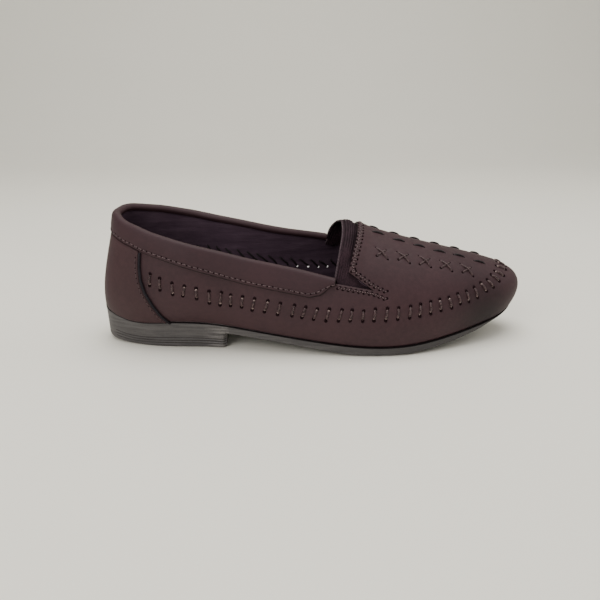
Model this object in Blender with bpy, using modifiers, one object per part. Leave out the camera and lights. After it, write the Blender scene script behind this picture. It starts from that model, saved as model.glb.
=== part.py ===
# Right slip-on flat: a leather upper on a unit sole with a low moulded heel.
# Lengths below are millimetres. The mesh is metres, +X to the toe, -Y the outer side, +Z up.
# The origin is on the floor under the middle of the heel.
import math

import bmesh
import bpy
import numpy as np

MM = 0.001

# Driving dimensions
ORIGIN_X = 38.0          # from the heel's back to the frame's origin
WALL = 1.8               # thickness of the upper's leather
GAP = 0.3                # clearance between pieces
RIM = 0.9                # how far the sole stands out past the upper's lower edge
COUNTER_THICK = 0.9      # leather of the heel counter
HEEL_GAP = 0.5           # clearance of the counter and the band from the upper on the heel's tight curve
COUNTER_LIFT = 1.2       # lower edge of the counter above the upper's lower edge
COUNTER_TUCK = 1.0       # top edge of the counter below the band's lower edge
BAND_THICK = 1.3         # leather of the collar band
BAND_LINING = 5.0        # inner leaf below the upper's top edge
LINING_GAP = 0.8         # clearance of the inner leaf from the upper
ROLL_LIFT = 0.4          # the band's fold stands this far clear of the upper's top edge
BAND_END_CLEAR = 0.0030  # share of the way round that the band stops short of each V
PIPING_RADIUS = 0.9
PIPING_SPAN = (0.02, 0.96)  # ends of the piping as shares of the counter's front edge
PIPING_SEAM = 0.5        # from the piping's side to the counter's front edge
ELASTIC_THICK = 1.0
ELASTIC_UNDERLAP = 5.0   # how far the elastic runs under the leather
ELASTIC_FADE = 0.22      # share of the way from V to toe in which the underlap narrows
ELASTIC_END_CLEAR = 0.0045  # share of the way round that the elastic stops short of each rear corner
INSOLE_THICK = 2.5
INSOLE_INSET = 2.7       # from the upper's lower edge to the insole's edge
BREAST_X = 72.5          # front of the heel
BREAST_RUN = 1.2         # slope of the heel's front face
HEEL_TAPER = 0.8         # how far the heel draws in at the floor
EDGE_ROUND = 0.9         # rise of the sole's lower edge
HEEL_EDGE_ROUND = 0.5    # the same on the heel
EDGE_ROUND_WIDTH = 5.0
EDGE_ROUND_SHARE = 0.3   # most of the sole's breadth that one rounded edge takes
RIB_DEPTH = 0.4          # grooves on the heel's side
RIB_FADE_X = 12.0        # grooves die out towards this place at the back
FLOW_V = 0.42            # where the line ahead of each V reaches the middle of the toe

# Counts of mesh steps
HEEL_STEPS = 9
HEEL_RUN = 0.06          # share of the way round that the heel's finer steps cover
BACK_STEPS = 12
END_STEPS = 5
END_RUN = 0.026          # share of the way round with finer steps next to each V
MOUTH_STEPS = 2
NOTCH_STEPS = 4
FORE_STEPS = 17
LOW_ROWS = 8
HIGH_ROWS = 8
SOLE_STATIONS = 44
INSOLE_STATIONS = 32
COUNTER_STEPS = 26
COUNTER_ROWS = 8
PIPING_POINTS = 14
ELASTIC_ROWS = 4
LEAF_ROWS = (1.0, 0.5, 0.0)  # shares of the band's depth, lower edge first
ROLL_ANGLES = (45, 90, 135)  # places round the band's fold
PROBE = 241              # samples along a profile when a line on the last is looked for
SEARCH = 801             # samples round the foot when a place on the last is looked for
COUNTER_SEARCH = (0.02, 0.2)  # shares of the way round between which the counter's front edge lies
STATION_APART = 0.25     # closest that two sole stations come, as a share of their usual step
SMALL_T = 1e-4           # step of t for a direction
WELD = 0.002             # points closer than this are joined

# Stations round the foot, heel to toe: the upper's lower edge (feather) and the last's ankle ring.
# name, feather x, feather y outer, feather y inner, feather z, ankle x, ankle half breadth, ankle z
STATIONS = [
    ("back", 0.5, 0.0, 0.0, 20.8, 12.0, 0.0, 88.0),
    ("turn", 4.2, -10.3, 10.3, 19.2, 15.2, 9.0, 88.0),
    ("corner", 16.5, -18.0, 18.0, 15.2, 24.0, 16.0, 88.0),
    ("heel", 35.0, -23.4, 23.2, 15.2, 39.0, 20.5, 88.0),
    ("seat", 60.0, -25.6, 23.0, 15.2, 58.0, 21.0, 88.0),
    ("waist", 92.0, -32.4, 23.5, 12.0, 77.0, 19.0, 87.0),
    ("arch", 124.0, -38.8, 29.0, 8.0, 91.0, 14.5, 86.0),
    ("ball", 152.0, -42.9, 36.3, 5.4, 100.5, 13.5, 85.0),
    ("joint", 178.0, -42.0, 38.5, 5.4, 107.0, 11.8, 84.5),
    ("toes", 203.0, -35.0, 34.0, 8.2, 111.5, 9.2, 84.0),
    ("small", 226.0, -25.8, 25.6, 12.4, 114.5, 6.0, 84.0),
    ("cap", 242.3, -15.5, 15.5, 16.2, 115.7, 2.9, 84.0),
    ("tip", 250.6, 0.0, 0.0, 19.0, 116.0, 0.0, 84.0),
]
# Handles of the profile at each station, measured out and up from the feather.
# name, belly out, belly up, middle out, middle up, high out, high up
PROFILES = [
    ("back", -0.4, 10.2, -0.8, 24.2, -8.0, 46.2),
    ("turn", 3.1, 10.3, 1.9, 24.8, -7.2, 46.8),
    ("corner", 8.5, 13.0, 8.5, 27.0, -4.8, 50.0),
    ("heel", 10.5, 12.5, 11.0, 28.0, -1.0, 51.0),
    ("seat", 14.5, 11.5, 13.0, 27.0, -0.5, 51.5),
    ("waist", 15.5, 10.5, 13.0, 26.0, -13.0, 51.0),
    ("arch", 12.5, 11.0, 10.5, 24.5, -24.0, 49.5),
    ("ball", 10.0, 13.5, 6.5, 30.5, -30.5, 47.0),
    ("joint", 7.0, 15.0, 5.0, 35.0, -37.5, 46.0),
    ("toes", 8.0, 18.0, 3.0, 37.5, -46.5, 42.0),
    ("small", 9.0, 19.0, 0.5, 36.5, -54.0, 36.0),
    ("cap", 11.0, 19.5, -0.8, 35.0, -60.0, 31.0),
    ("tip", 11.7, 20.0, -1.2, 33.0, -61.0, 29.0),
]
# Height of the upper's top edge: x, outer side z, inner side z
COLLAR = [
    (9.3, 75.3, 75.3),
    (12.0, 74.6, 76.5),
    (15.0, 73.1, 76.7),
    (19.0, 71.7, 76.1),
    (24.0, 70.2, 75.2),
    (32.0, 67.5, 74.0),
    (56.0, 61.3, 69.2),
    (84.0, 54.2, 63.8),
    (112.0, 47.6, 58.0),
    (136.0, 42.0, 53.7),
    (150.0, 38.7, 51.2),
]
# Depth of the band's outer leaf below the top edge, rounded off towards the V: x, outer, inner
BAND_DEPTH = [
    (9.0, 7.3, 7.3),
    (14.0, 9.4, 10.2),
    (22.0, 10.8, 12.6),
    (45.0, 10.9, 13.0),
    (75.0, 13.6, 14.4),
    (114.0, 15.4, 15.4),
    (121.5, 12.1, 12.1),
    (128.0, 6.6, 6.6),
    (135.0, 1.2, 1.2),
]
# The V at each side of the throat: rear corner, vamp corner and apex, each as x, z
NOTCH_OUTER = ((136.0, 42.0), (144.6, 47.2), (157.0, 38.6))
NOTCH_INNER = ((136.0, 53.7), (149.5, 53.5), (159.5, 47.5))
# Front edges of the throat seen from above: x at the middle, bow per square millimetre, y of the middle
VAMP_EDGE = (152.7, 0.0064, 3.0)
THROAT_EDGE = (142.8, 0.0073, -3.0)
# Front edge of the counter in side view, where the piping lies: z, x
PIPING_LINE = [
    (14.0, 42.3),
    (20.4, 37.1),
    (27.3, 32.9),
    (35.4, 28.7),
    (42.0, 26.8),
    (49.7, 26.4),
    (58.0, 27.0),
]
# Underside of the sole along its middle: x, z
UNDERSIDE = [
    (BREAST_X + BREAST_RUN, 9.0),
    (91.0, 7.5),
    (111.0, 5.0),
    (127.0, 2.6),
    (140.0, 0.8),
    (150.0, 0.0),
    (180.0, 0.0),
    (194.0, 1.9),
    (208.0, 4.6),
    (222.0, 8.2),
    (230.0, 11.2),
    (238.0, 13.6),
    (250.6, 17.0),
]
# The sole's side from its top edge down: share of the height, groove depth share
SOLE_SIDE = [
    (0.0, 0.0),
    (0.35, 0.0),
    (0.60, 0.0),
    (0.64, 1.0),
    (0.68, 0.0),
    (0.72, 0.0),
    (0.76, 1.0),
    (0.80, 0.0),
    (0.84, 0.0),
    (0.88, 1.0),
    (0.92, 0.0),
    (1.0, 0.0),
]
# node, base colour, roughness
FINISHES = {
    "upper": ((0.054, 0.033, 0.034), 0.75),
    "heel_counter": ((0.062, 0.040, 0.038), 0.75),
    "collar_band": ((0.056, 0.034, 0.036), 0.75),
    "piping_lateral": ((0.016, 0.017, 0.028), 0.6),
    "piping_medial": ((0.016, 0.017, 0.028), 0.6),
    "throat_elastic": ((0.030, 0.019, 0.026), 0.85),
    "insole": ((0.022, 0.017, 0.022), 0.8),
    "outsole": ((0.052, 0.050, 0.048), 0.6),
}


class ClosedCurve:
    """A closed cubic curve through rows of numbers, spaced by the chords of their first two columns."""

    def __init__(self, rows):
        count = len(rows)
        self.rows = rows
        self.step = np.linalg.norm(np.roll(rows[:, :2], -1, axis=0) - rows[:, :2], axis=1)
        self.knots = np.concatenate([[0.0], np.cumsum(self.step)])
        self.total = self.knots[-1]
        system = np.zeros((count, count))
        right = np.zeros_like(rows)
        for i in range(count):
            following = (i + 1) % count
            before, after = self.step[i - 1], self.step[i]
            system[i, i - 1] += before
            system[i, i] += 2 * (before + after)
            system[i, following] += after
            right[i] = 6 * ((rows[following] - rows[i]) / after - (rows[i] - rows[i - 1]) / before)
        self.bend = np.linalg.solve(system, right)

    def at(self, t):
        place = np.asarray(t, float) % 1.0 * self.total
        i = np.clip(np.searchsorted(self.knots, place, side="right") - 1, 0, len(self.rows) - 1)
        j = (i + 1) % len(self.rows)
        step = self.step[i][..., None]
        past = (place - self.knots[i])[..., None]
        left = step - past
        return (
            (self.bend[i] * left**3 + self.bend[j] * past**3) / (6 * step)
            + (self.rows[i] / step - self.bend[i] * step / 6) * left
            + (self.rows[j] / step - self.bend[j] * step / 6) * past
        )


def last_rows():
    """One row per station: up the outer side to the toe, then back along the inner side."""
    outer = []
    inner = []
    for station, profile in zip(STATIONS, PROFILES):
        _, x, y_outer, y_inner, z, ankle_x, half_breadth, ankle_z = station
        outer.append([x, y_outer, z, ankle_x, -half_breadth, ankle_z, *profile[1:]])
        inner.append([x, y_inner, z, ankle_x, half_breadth, ankle_z, *profile[1:]])
    return np.array(outer + inner[-2:0:-1])


LAST = ClosedCurve(last_rows())
TOE_T = LAST.knots[len(STATIONS) - 1] / LAST.total


def last_point(t, v):
    """A point of the last: t goes round the foot from the heel's back, v up from the feather."""
    t, v = np.broadcast_arrays(np.asarray(t, float), np.asarray(v, float))
    row = LAST.at(t)
    feather, ankle = row[..., 0:3], row[..., 3:6]
    way = (feather - ankle)[..., :2]
    way = way / np.linalg.norm(way, axis=-1, keepdims=True)
    points = [feather]
    for handle in range(3):
        out, up = row[..., 6 + 2 * handle], row[..., 7 + 2 * handle]
        level = feather[..., :2] + way * out[..., None]
        points.append(np.concatenate([level, (feather[..., 2] + up)[..., None]], axis=-1))
    points.append(ankle)
    total = 0.0
    for k, point in enumerate(points):
        weight = math.comb(4, k) * v**k * (1 - v) ** (4 - k)
        total = total + weight[..., None] * point
    return total


def last_frame(t, v):
    """The outward normal and the upward direction on the last."""
    t, v = np.broadcast_arrays(np.asarray(t, float), np.asarray(v, float))
    along = last_point(t + SMALL_T, v) - last_point(t - SMALL_T, v)
    up = last_point(t, np.minimum(v + SMALL_T, 1)) - last_point(t, np.maximum(v - SMALL_T, 0))
    normal = np.cross(along, up)
    normal /= np.linalg.norm(normal, axis=-1, keepdims=True)
    up /= np.linalg.norm(up, axis=-1, keepdims=True)
    return normal, up


def offset_point(t, v, distance):
    normal, _ = last_frame(t, v)
    return last_point(t, v) + normal * np.asarray(distance, float)[..., None]


def profile_samples(t):
    v = np.linspace(0, 1, PROBE)
    return v, last_point(np.asarray(t, float)[:, None], v[None, :])


def first_v(t, field):
    """For each t, the lowest v at which the field turns positive."""
    v, points = profile_samples(t)
    value = field(points)
    k = np.clip(np.argmax(value > 0, axis=1), 1, PROBE - 1)
    rows = np.arange(len(k))
    low, high = value[rows, k - 1], value[rows, k]
    share = np.clip(-low / np.where(high == low, 1, high - low), 0, 1)
    return v[k - 1] + share * (v[k] - v[k - 1])


def step_v(t, start, distance):
    """v reached by going a distance along the profile from start: up if positive, down if negative."""
    v, points = profile_samples(t)
    run = np.concatenate(
        [np.zeros((len(points), 1)), np.cumsum(np.linalg.norm(np.diff(points, axis=1), axis=2), axis=1)],
        axis=1,
    )
    distance = np.broadcast_to(np.asarray(distance, float), (len(points),))
    start = np.broadcast_to(np.asarray(start, float), (len(points),))
    reached = []
    for row, begin, length in zip(run, start, distance):
        reached.append(np.interp(np.interp(begin, v, row) + length, row, v))
    return np.array(reached)


def profile_length(t, low, high):
    v, points = profile_samples(t)
    run = np.cumsum(np.linalg.norm(np.diff(points, axis=1), axis=2), axis=1)
    return np.array([np.interp(h, v[1:], r) - np.interp(w, v[1:], r) for r, w, h in zip(run, low, high)])


def above_collar(points):
    x, outer, inner = np.array(COLLAR).T
    height = np.where(
        points[..., 1] < 0, np.interp(points[..., 0], x, outer), np.interp(points[..., 0], x, inner)
    )
    return points[..., 2] - height


def above_line(start, end):
    """A field that is positive above a straight line of the side view."""
    slope = (end[1] - start[1]) / (end[0] - start[0])
    return lambda points: points[..., 2] - start[1] - slope * (points[..., 0] - start[0])


def behind_edge(edge):
    middle_x, bow, middle_y = edge
    return lambda points: middle_x - bow * (points[..., 1] - middle_y) ** 2 - points[..., 0]


def station_of(place, outer):
    """The t whose profile passes through a point of the side view."""
    ends = (SMALL_T, TOE_T - SMALL_T) if outer else (TOE_T + SMALL_T, 1 - SMALL_T)
    t = np.linspace(*ends, SEARCH)
    v, points = profile_samples(t)
    away = np.hypot(points[..., 0] - place[0], points[..., 2] - place[1])
    return t[np.argmin(away.min(axis=1))]


CORNER_OUTER, VAMP_OUTER, APEX_OUTER = (station_of(place, True) for place in NOTCH_OUTER)
CORNER_INNER, VAMP_INNER, APEX_INNER = (station_of(place, False) for place in NOTCH_INNER)


def notch_of(t):
    """The V's corners and the t of its corners on the side that t lies on."""
    if t < TOE_T:
        return NOTCH_OUTER, CORNER_OUTER, VAMP_OUTER, APEX_OUTER
    return NOTCH_INNER, CORNER_INNER, VAMP_INNER, APEX_INNER


def lower_top_v(ts):
    """Top of the upper's lower part: the collar, then the V's lower edge, then a line across the toe."""
    found = []
    for t in ts:
        notch, corner, _, apex = notch_of(t)
        here = np.array([t])
        if abs(t - TOE_T) >= abs(corner - TOE_T):
            found.append(first_v(here, above_collar)[0])
        elif abs(t - TOE_T) >= abs(apex - TOE_T):
            found.append(first_v(here, above_line(notch[0], notch[2]))[0])
        else:
            start = first_v(np.array([apex]), above_line(notch[0], notch[2]))[0]
            share = abs(t - apex) / abs(TOE_T - apex)
            ease = 0.5 - 0.5 * math.cos(math.pi * share)
            found.append(start + (FLOW_V - start) * ease)
    return np.array(found)


def upper_bottom_v(ts):
    """Bottom of the vamp: the V's upper edge, then the line across the toe."""
    found = []
    for t in ts:
        notch, _, _, apex = notch_of(t)
        if abs(t - TOE_T) > abs(apex - TOE_T):
            found.append(first_v(np.array([t]), above_line(notch[1], notch[2]))[0])
        else:
            found.append(lower_top_v([t])[0])
    return np.array(found)


def vamp_top_v(ts):
    return first_v(np.asarray(ts, float), behind_edge(VAMP_EDGE))


def steps(*parts):
    """One run of numbers from pairs of (end, count), starting at the first number."""
    run = [parts[0]]
    for end, count in parts[1:]:
        run.extend(np.linspace(run[-1], end, count + 1)[1:])
    return np.array(run)


def add_grid(mesh, columns, rows, place):
    """Adds a grid whose points are put by place(column, row)."""
    made = bmesh.ops.create_grid(mesh, x_segments=columns, y_segments=rows, size=0.5)["verts"]
    spots = np.array([vert.co[:2] for vert in made]) + 0.5
    column = np.rint(spots[:, 0] * columns).astype(int)
    row = np.rint(spots[:, 1] * rows).astype(int)
    points = place(column, row)
    for vert, point in zip(made, points):
        vert.co = ((point[0] - ORIGIN_X) * MM, point[1] * MM, point[2] * MM)
    return made


def table_place(points):
    """Grid placing from an array of points by column and row."""
    return lambda column, row: points[column, row]


def finish_mesh(name, mesh, closed):
    bmesh.ops.remove_doubles(mesh, verts=mesh.verts, dist=WELD * MM)
    bmesh.ops.dissolve_degenerate(mesh, edges=mesh.edges, dist=WELD * MM)
    if closed:
        bmesh.ops.recalc_face_normals(mesh, faces=mesh.faces)
    data = bpy.data.meshes.new(name)
    mesh.to_mesh(data)
    mesh.free()
    return add_object(name, data)


def add_object(name, data):
    thing = bpy.data.objects.new(name, data)
    PARTS.objects.link(thing)
    colour, roughness = FINISHES[name]
    finish = bpy.data.materials.new(name)
    finish.use_nodes = True
    shader = finish.node_tree.nodes["Principled BSDF"]
    shader.inputs["Base Color"].default_value = (*colour, 1.0)
    shader.inputs["Roughness"].default_value = roughness
    shader.inputs["Metallic"].default_value = 0.0
    data.materials.append(finish)
    return thing


def thicken(thing, thickness):
    """Thickens an open surface to the side away from its normals."""
    wall = thing.modifiers.new("wall", "SOLIDIFY")
    wall.thickness = thickness * MM
    wall.offset = -1.0
    wall.use_rim = True


def make_upper():
    ring = steps(
        0.0,
        (HEEL_RUN, HEEL_STEPS),
        (CORNER_OUTER - END_RUN, BACK_STEPS),
        (CORNER_OUTER, END_STEPS),
        (VAMP_OUTER, MOUTH_STEPS),
        (APEX_OUTER, NOTCH_STEPS),
        (TOE_T, FORE_STEPS),
        (APEX_INNER, FORE_STEPS),
        (VAMP_INNER, NOTCH_STEPS),
        (CORNER_INNER, MOUTH_STEPS),
        (CORNER_INNER + END_RUN, END_STEPS),
        (1.0 - HEEL_RUN, BACK_STEPS),
        (1.0, HEEL_STEPS),
    )
    top = lower_top_v(ring)
    share = np.linspace(0, 1, LOW_ROWS + 1)
    mesh = bmesh.new()
    lower = last_point(ring[:, None], top[:, None] * share[None, :])
    add_grid(mesh, len(ring) - 1, LOW_ROWS, table_place(lower))
    first = HEEL_STEPS + BACK_STEPS + END_STEPS + MOUTH_STEPS
    vamp = ring[first : len(ring) - first]
    low, high = upper_bottom_v(vamp), vamp_top_v(vamp)
    low[0], low[-1] = high[0], high[-1]
    share = np.linspace(0, 1, HIGH_ROWS + 1)
    points = last_point(vamp[:, None], low[:, None] + (high - low)[:, None] * share[None, :])
    add_grid(mesh, len(vamp) - 1, HIGH_ROWS, table_place(points))
    thicken(finish_mesh("upper", mesh, closed=False), WALL)


def collar_run():
    """t along the collar from the inner corner round the heel to the outer one, on the upper's own steps."""
    run = steps(
        CORNER_INNER - 1,
        (CORNER_INNER - 1 + END_RUN, END_STEPS),
        (-HEEL_RUN, BACK_STEPS),
        (0.0, HEEL_STEPS),
        (HEEL_RUN, HEEL_STEPS),
        (CORNER_OUTER - END_RUN, BACK_STEPS),
        (CORNER_OUTER, END_STEPS),
    )
    run[0] += BAND_END_CLEAR
    run[-1] -= BAND_END_CLEAR
    return run


def band_depth(t, edge):
    """Depth of the band's outer leaf below the upper's top edge."""
    x, outer, inner = np.array(BAND_DEPTH).T
    points = last_point(t, edge)
    along = points[..., 0]
    return np.where(points[..., 1] < 0, np.interp(along, x, outer), np.interp(along, x, inner))


def make_collar_band():
    t = collar_run()
    edge = first_v(t, above_collar)
    depth = band_depth(t, edge)
    outer = HEEL_GAP + BAND_THICK
    roll = WALL / 2 + outer
    rows = []
    for share in LEAF_ROWS:
        rows.append(offset_point(t, step_v(t, edge, -depth * share), np.full(len(t), outer)))
    line = last_point(t, edge)
    normal, _ = last_frame(t, edge)
    up = np.cross(normal, np.gradient(line, axis=0))
    up /= np.linalg.norm(up, axis=-1, keepdims=True)
    centre = line - normal * WALL / 2 + up * ROLL_LIFT
    for angle in ROLL_ANGLES:
        turn = math.radians(angle)
        rows.append(centre + roll * (math.cos(turn) * normal + math.sin(turn) * up))
    for below in (0.0, BAND_LINING):
        inside = np.full(len(t), -WALL - LINING_GAP - BAND_THICK)
        rows.append(offset_point(t, step_v(t, edge, -below), inside))
    mesh = bmesh.new()
    add_grid(mesh, len(t) - 1, len(rows) - 1, table_place(np.stack(rows, axis=1)))
    thicken(finish_mesh("collar_band", mesh, closed=False), BAND_THICK)


def counter_edge(share, outer, shift):
    """t and v of the piping line at shares of the height between feather and band."""
    z, x = np.array(PIPING_LINE).T
    t = np.linspace(*COUNTER_SEARCH, SEARCH)
    t = t if outer else 1 - t
    edge = first_v(t, above_collar)
    low = step_v(t, 0.0, COUNTER_LIFT)
    high = step_v(t, edge, -(band_depth(t, edge) + COUNTER_TUCK))
    found_t = []
    found_v = []
    for part in share:
        v = low + (high - low) * part
        points = last_point(t, v)
        ahead = points[:, 0] - np.interp(points[:, 2], z, x) - shift
        k = np.argmax(ahead > 0)
        mix = -ahead[k - 1] / (ahead[k] - ahead[k - 1])
        found_t.append(t[k - 1] + mix * (t[k] - t[k - 1]))
        found_v.append(v[k - 1] + mix * (v[k] - v[k - 1]))
    return np.array(found_t), np.array(found_v)


def make_heel_counter():
    share = np.linspace(0, 1, COUNTER_ROWS + 1)
    back = -(PIPING_RADIUS + PIPING_SEAM)
    outer_t, _ = counter_edge(share, True, back)
    inner_t, _ = counter_edge(share, False, back)
    across = np.linspace(0, 1, COUNTER_STEPS + 1)
    t = (inner_t - 1)[None, :] + (outer_t - inner_t + 1)[None, :] * across[:, None]
    flat = t.ravel()
    low = step_v(flat, 0.0, COUNTER_LIFT).reshape(t.shape)
    edge = first_v(flat, above_collar)
    high = step_v(flat, edge, -(band_depth(flat, edge) + COUNTER_TUCK)).reshape(t.shape)
    v = low + (high - low) * share[None, :]
    mesh = bmesh.new()
    points = offset_point(t, v, np.full(t.shape, HEEL_GAP + COUNTER_THICK))
    add_grid(mesh, COUNTER_STEPS, COUNTER_ROWS, table_place(points))
    thicken(finish_mesh("heel_counter", mesh, closed=False), COUNTER_THICK)


def make_piping(name, outer):
    t, v = counter_edge(np.linspace(*PIPING_SPAN, PIPING_POINTS), outer, 0.0)
    points = offset_point(t, v, np.full(len(t), GAP + PIPING_RADIUS))
    cord = bpy.data.curves.new(name, "CURVE")
    cord.dimensions = "3D"
    cord.bevel_depth = PIPING_RADIUS * MM
    cord.bevel_resolution = 2
    cord.use_fill_caps = True
    line = cord.splines.new("POLY")
    line.points.add(len(points) - 1)
    for spot, point in zip(line.points, points):
        spot.co = ((point[0] - ORIGIN_X) * MM, point[1] * MM, point[2] * MM, 1.0)
    add_object(name, cord)


def make_throat_elastic():
    t = steps(
        CORNER_OUTER + ELASTIC_END_CLEAR,
        (APEX_OUTER, MOUTH_STEPS + NOTCH_STEPS),
        (TOE_T, FORE_STEPS),
        (APEX_INNER, FORE_STEPS),
        (CORNER_INNER - ELASTIC_END_CLEAR, MOUTH_STEPS + NOTCH_STEPS),
    )
    rear = first_v(t, behind_edge(THROAT_EDGE))
    edge = vamp_top_v(t)
    low = []
    for place, top in zip(t, edge):
        _, _, _, apex = notch_of(place)
        here = np.array([place])
        if abs(place - TOE_T) >= abs(apex - TOE_T):
            low.append(step_v(here, lower_top_v(here), -ELASTIC_UNDERLAP)[0])
            continue
        tip = np.array([apex])
        depth = profile_length(tip, lower_top_v(tip), vamp_top_v(tip))[0]
        share = abs(place - apex) / abs(TOE_T - apex) / ELASTIC_FADE
        ease = 0.5 + 0.5 * math.cos(math.pi * min(share, 1.0))
        low.append(step_v(here, top, -(ELASTIC_UNDERLAP + depth * ease))[0])
    low = np.array(low)
    share = np.linspace(0, 1, ELASTIC_ROWS + 1)
    v = low[:, None] + (rear - low)[:, None] * share[None, :]
    points = offset_point(t[:, None], v, np.full(v.shape, -WALL - GAP))
    mesh = bmesh.new()
    add_grid(mesh, len(t) - 1, ELASTIC_ROWS, table_place(points))
    thicken(finish_mesh("throat_elastic", mesh, closed=False), ELASTIC_THICK)


def outline(t, out):
    """The feather line moved outwards in plan, keeping its height."""
    point = LAST.at(t)[..., :3]
    t = np.asarray(t, float)
    along = LAST.at(t + SMALL_T)[..., :2] - LAST.at(t - SMALL_T)[..., :2]
    along /= np.linalg.norm(along, axis=-1, keepdims=True)
    away = np.stack([along[..., 1], -along[..., 0], np.zeros(along.shape[:-1])], axis=-1)
    return point + away * np.asarray(out, float)[..., None]


def paired_stations(count, extra=()):
    """t on the outer and the inner side for stations that share their x, from heel to toe."""
    fine = np.linspace(0, TOE_T, SEARCH)
    fine_x = LAST.at(fine)[:, 0]
    more = np.interp(np.array(extra), fine_x, fine) if len(extra) else np.array([])
    apart = STATION_APART * TOE_T / count
    keep = [a for a in np.linspace(0, TOE_T, count + 1) if all(abs(a - b) > apart for b in more)]
    outer = np.sort(np.concatenate([keep, more]))
    other = np.linspace(1, TOE_T, SEARCH)
    inner = np.interp(np.interp(outer, fine, fine_x), LAST.at(other)[:, 0], other)
    inner[0], inner[-1] = 1.0, TOE_T
    return outer, inner


def is_heel(x):
    return x < BREAST_X + BREAST_RUN / 2


def underside(x):
    """Height of the sole's underside along its middle: flat under the heel, then the table."""
    below_x, below_z = np.array(UNDERSIDE).T
    return np.where(is_heel(x), 0.0, np.interp(x, below_x, below_z))


def make_outsole():
    outer_t, inner_t = paired_stations(SOLE_STATIONS, (BREAST_X, BREAST_X + BREAST_RUN))
    count = len(outer_t)
    ring_t = np.concatenate([outer_t, inner_t[::-1][1:]])
    top = outline(ring_t, np.full(len(ring_t), RIM)) - [0, 0, GAP]
    x = LAST.at(ring_t)[:, 0]
    floor = underside(x)
    ribs = np.where(is_heel(x), np.clip((x - RIB_FADE_X) / (BREAST_X - RIB_FADE_X), 0, 1), 0)
    taper = np.where(is_heel(x), HEEL_TAPER, 0.0)
    rise = np.where(is_heel(x), HEEL_EDGE_ROUND, EDGE_ROUND)
    height = top[:, 2] - floor - rise
    rows = []
    for share, groove in SOLE_SIDE:
        ring = outline(ring_t, RIM - taper * share - groove * RIB_DEPTH * ribs)
        ring[:, 2] = top[:, 2] - height * share
        rows.append(ring)
    wall = np.stack(rows, axis=1)
    mesh = bmesh.new()
    add_grid(mesh, len(ring_t) - 1, len(SOLE_SIDE) - 1, table_place(wall))

    def across(ring, fractions):
        left = ring[:count]
        right = ring[::-1][:count]
        return left[:, None] + (right - left)[:, None] * fractions[..., None]

    halves = np.broadcast_to(np.array([0.0, 0.5, 1.0]), (count, 3))
    add_grid(mesh, count - 1, 2, table_place(across(wall[:, 0], halves)))
    edge = wall[:, -1]
    breadth = np.linalg.norm(edge[:count] - edge[::-1][:count], axis=1)
    inset = np.minimum(EDGE_ROUND_WIDTH / np.maximum(breadth, WELD), EDGE_ROUND_SHARE)
    shares = np.stack([0 * inset, inset, 0.5 + 0 * inset, 1 - inset, 1 + 0 * inset], axis=1)
    bottom = across(edge, shares)
    drop = rise[:count] * np.minimum(breadth / EDGE_ROUND_WIDTH, 1)
    bottom[:, 1:4, 2] -= drop[:, None]
    add_grid(mesh, count - 1, 4, table_place(bottom))
    finish_mesh("outsole", mesh, closed=True)


def make_insole():
    outer_t, inner_t = paired_stations(INSOLE_STATIONS)
    count = len(outer_t)
    ring_t = np.concatenate([outer_t, inner_t[::-1][1:]])
    low = outline(ring_t, np.full(len(ring_t), -INSOLE_INSET))
    high = low + [0, 0, INSOLE_THICK]
    mesh = bmesh.new()
    add_grid(mesh, len(ring_t) - 1, 1, table_place(np.stack([low, high], axis=1)))
    for ring in (low, high):
        left, right = ring[:count], ring[::-1][:count]
        add_grid(mesh, count - 1, 2, table_place(np.stack([left, (left + right) / 2, right], axis=1)))
    finish_mesh("insole", mesh, closed=True)


for old in list(bpy.data.objects):
    bpy.data.objects.remove(old)
PARTS = bpy.data.collections.new("slip_on_flat")
bpy.context.scene.collection.children.link(PARTS)

make_outsole()
make_insole()
make_upper()
make_heel_counter()
make_collar_band()
make_piping("piping_lateral", True)
make_piping("piping_medial", False)
make_throat_elastic()
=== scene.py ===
# %% [markdown]
# A right-foot slip-on flat in brown buffed leather, on a moulded sole with a low heel.
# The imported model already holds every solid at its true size. This script dresses it: finer
# leather, thread, elastic and rubber on the same last, and a finish for each of them.
# Loading the frame first means that every later size can be read or checked against it.

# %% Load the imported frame
import math
import random

import bmesh
import bpy
import numpy as np
from mathutils import Matrix, Vector
from mathutils.bvhtree import BVHTree


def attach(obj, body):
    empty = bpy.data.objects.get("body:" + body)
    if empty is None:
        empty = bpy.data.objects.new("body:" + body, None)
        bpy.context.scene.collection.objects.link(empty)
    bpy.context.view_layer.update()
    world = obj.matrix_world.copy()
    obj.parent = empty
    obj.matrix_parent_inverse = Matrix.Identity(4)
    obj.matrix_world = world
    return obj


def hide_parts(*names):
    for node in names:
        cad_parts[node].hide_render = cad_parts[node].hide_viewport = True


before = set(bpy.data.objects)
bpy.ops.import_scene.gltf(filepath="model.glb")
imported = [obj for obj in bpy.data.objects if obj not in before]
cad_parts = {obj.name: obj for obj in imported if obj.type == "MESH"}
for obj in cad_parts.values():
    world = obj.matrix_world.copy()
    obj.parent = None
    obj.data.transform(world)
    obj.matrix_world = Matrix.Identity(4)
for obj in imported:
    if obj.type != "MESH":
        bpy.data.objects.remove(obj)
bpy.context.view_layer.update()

print("solids in the frame:", ", ".join(sorted(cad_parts)))

# %% [markdown]
# A shoemaker starts from the last, the wooden form of a foot. Every leather piece here lies on it.
# The form could be sculpted by hand, but a short table of stations from heel to toe is easier to
# correct, and it is the one that shaped the solids. Lengths are millimetres until a point is placed.

# %% Tables of the last
MM = 0.001
ORIGIN_X = 38.0      # from the heel's back to the frame's origin
WALL = 1.8           # leather and lining together
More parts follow.
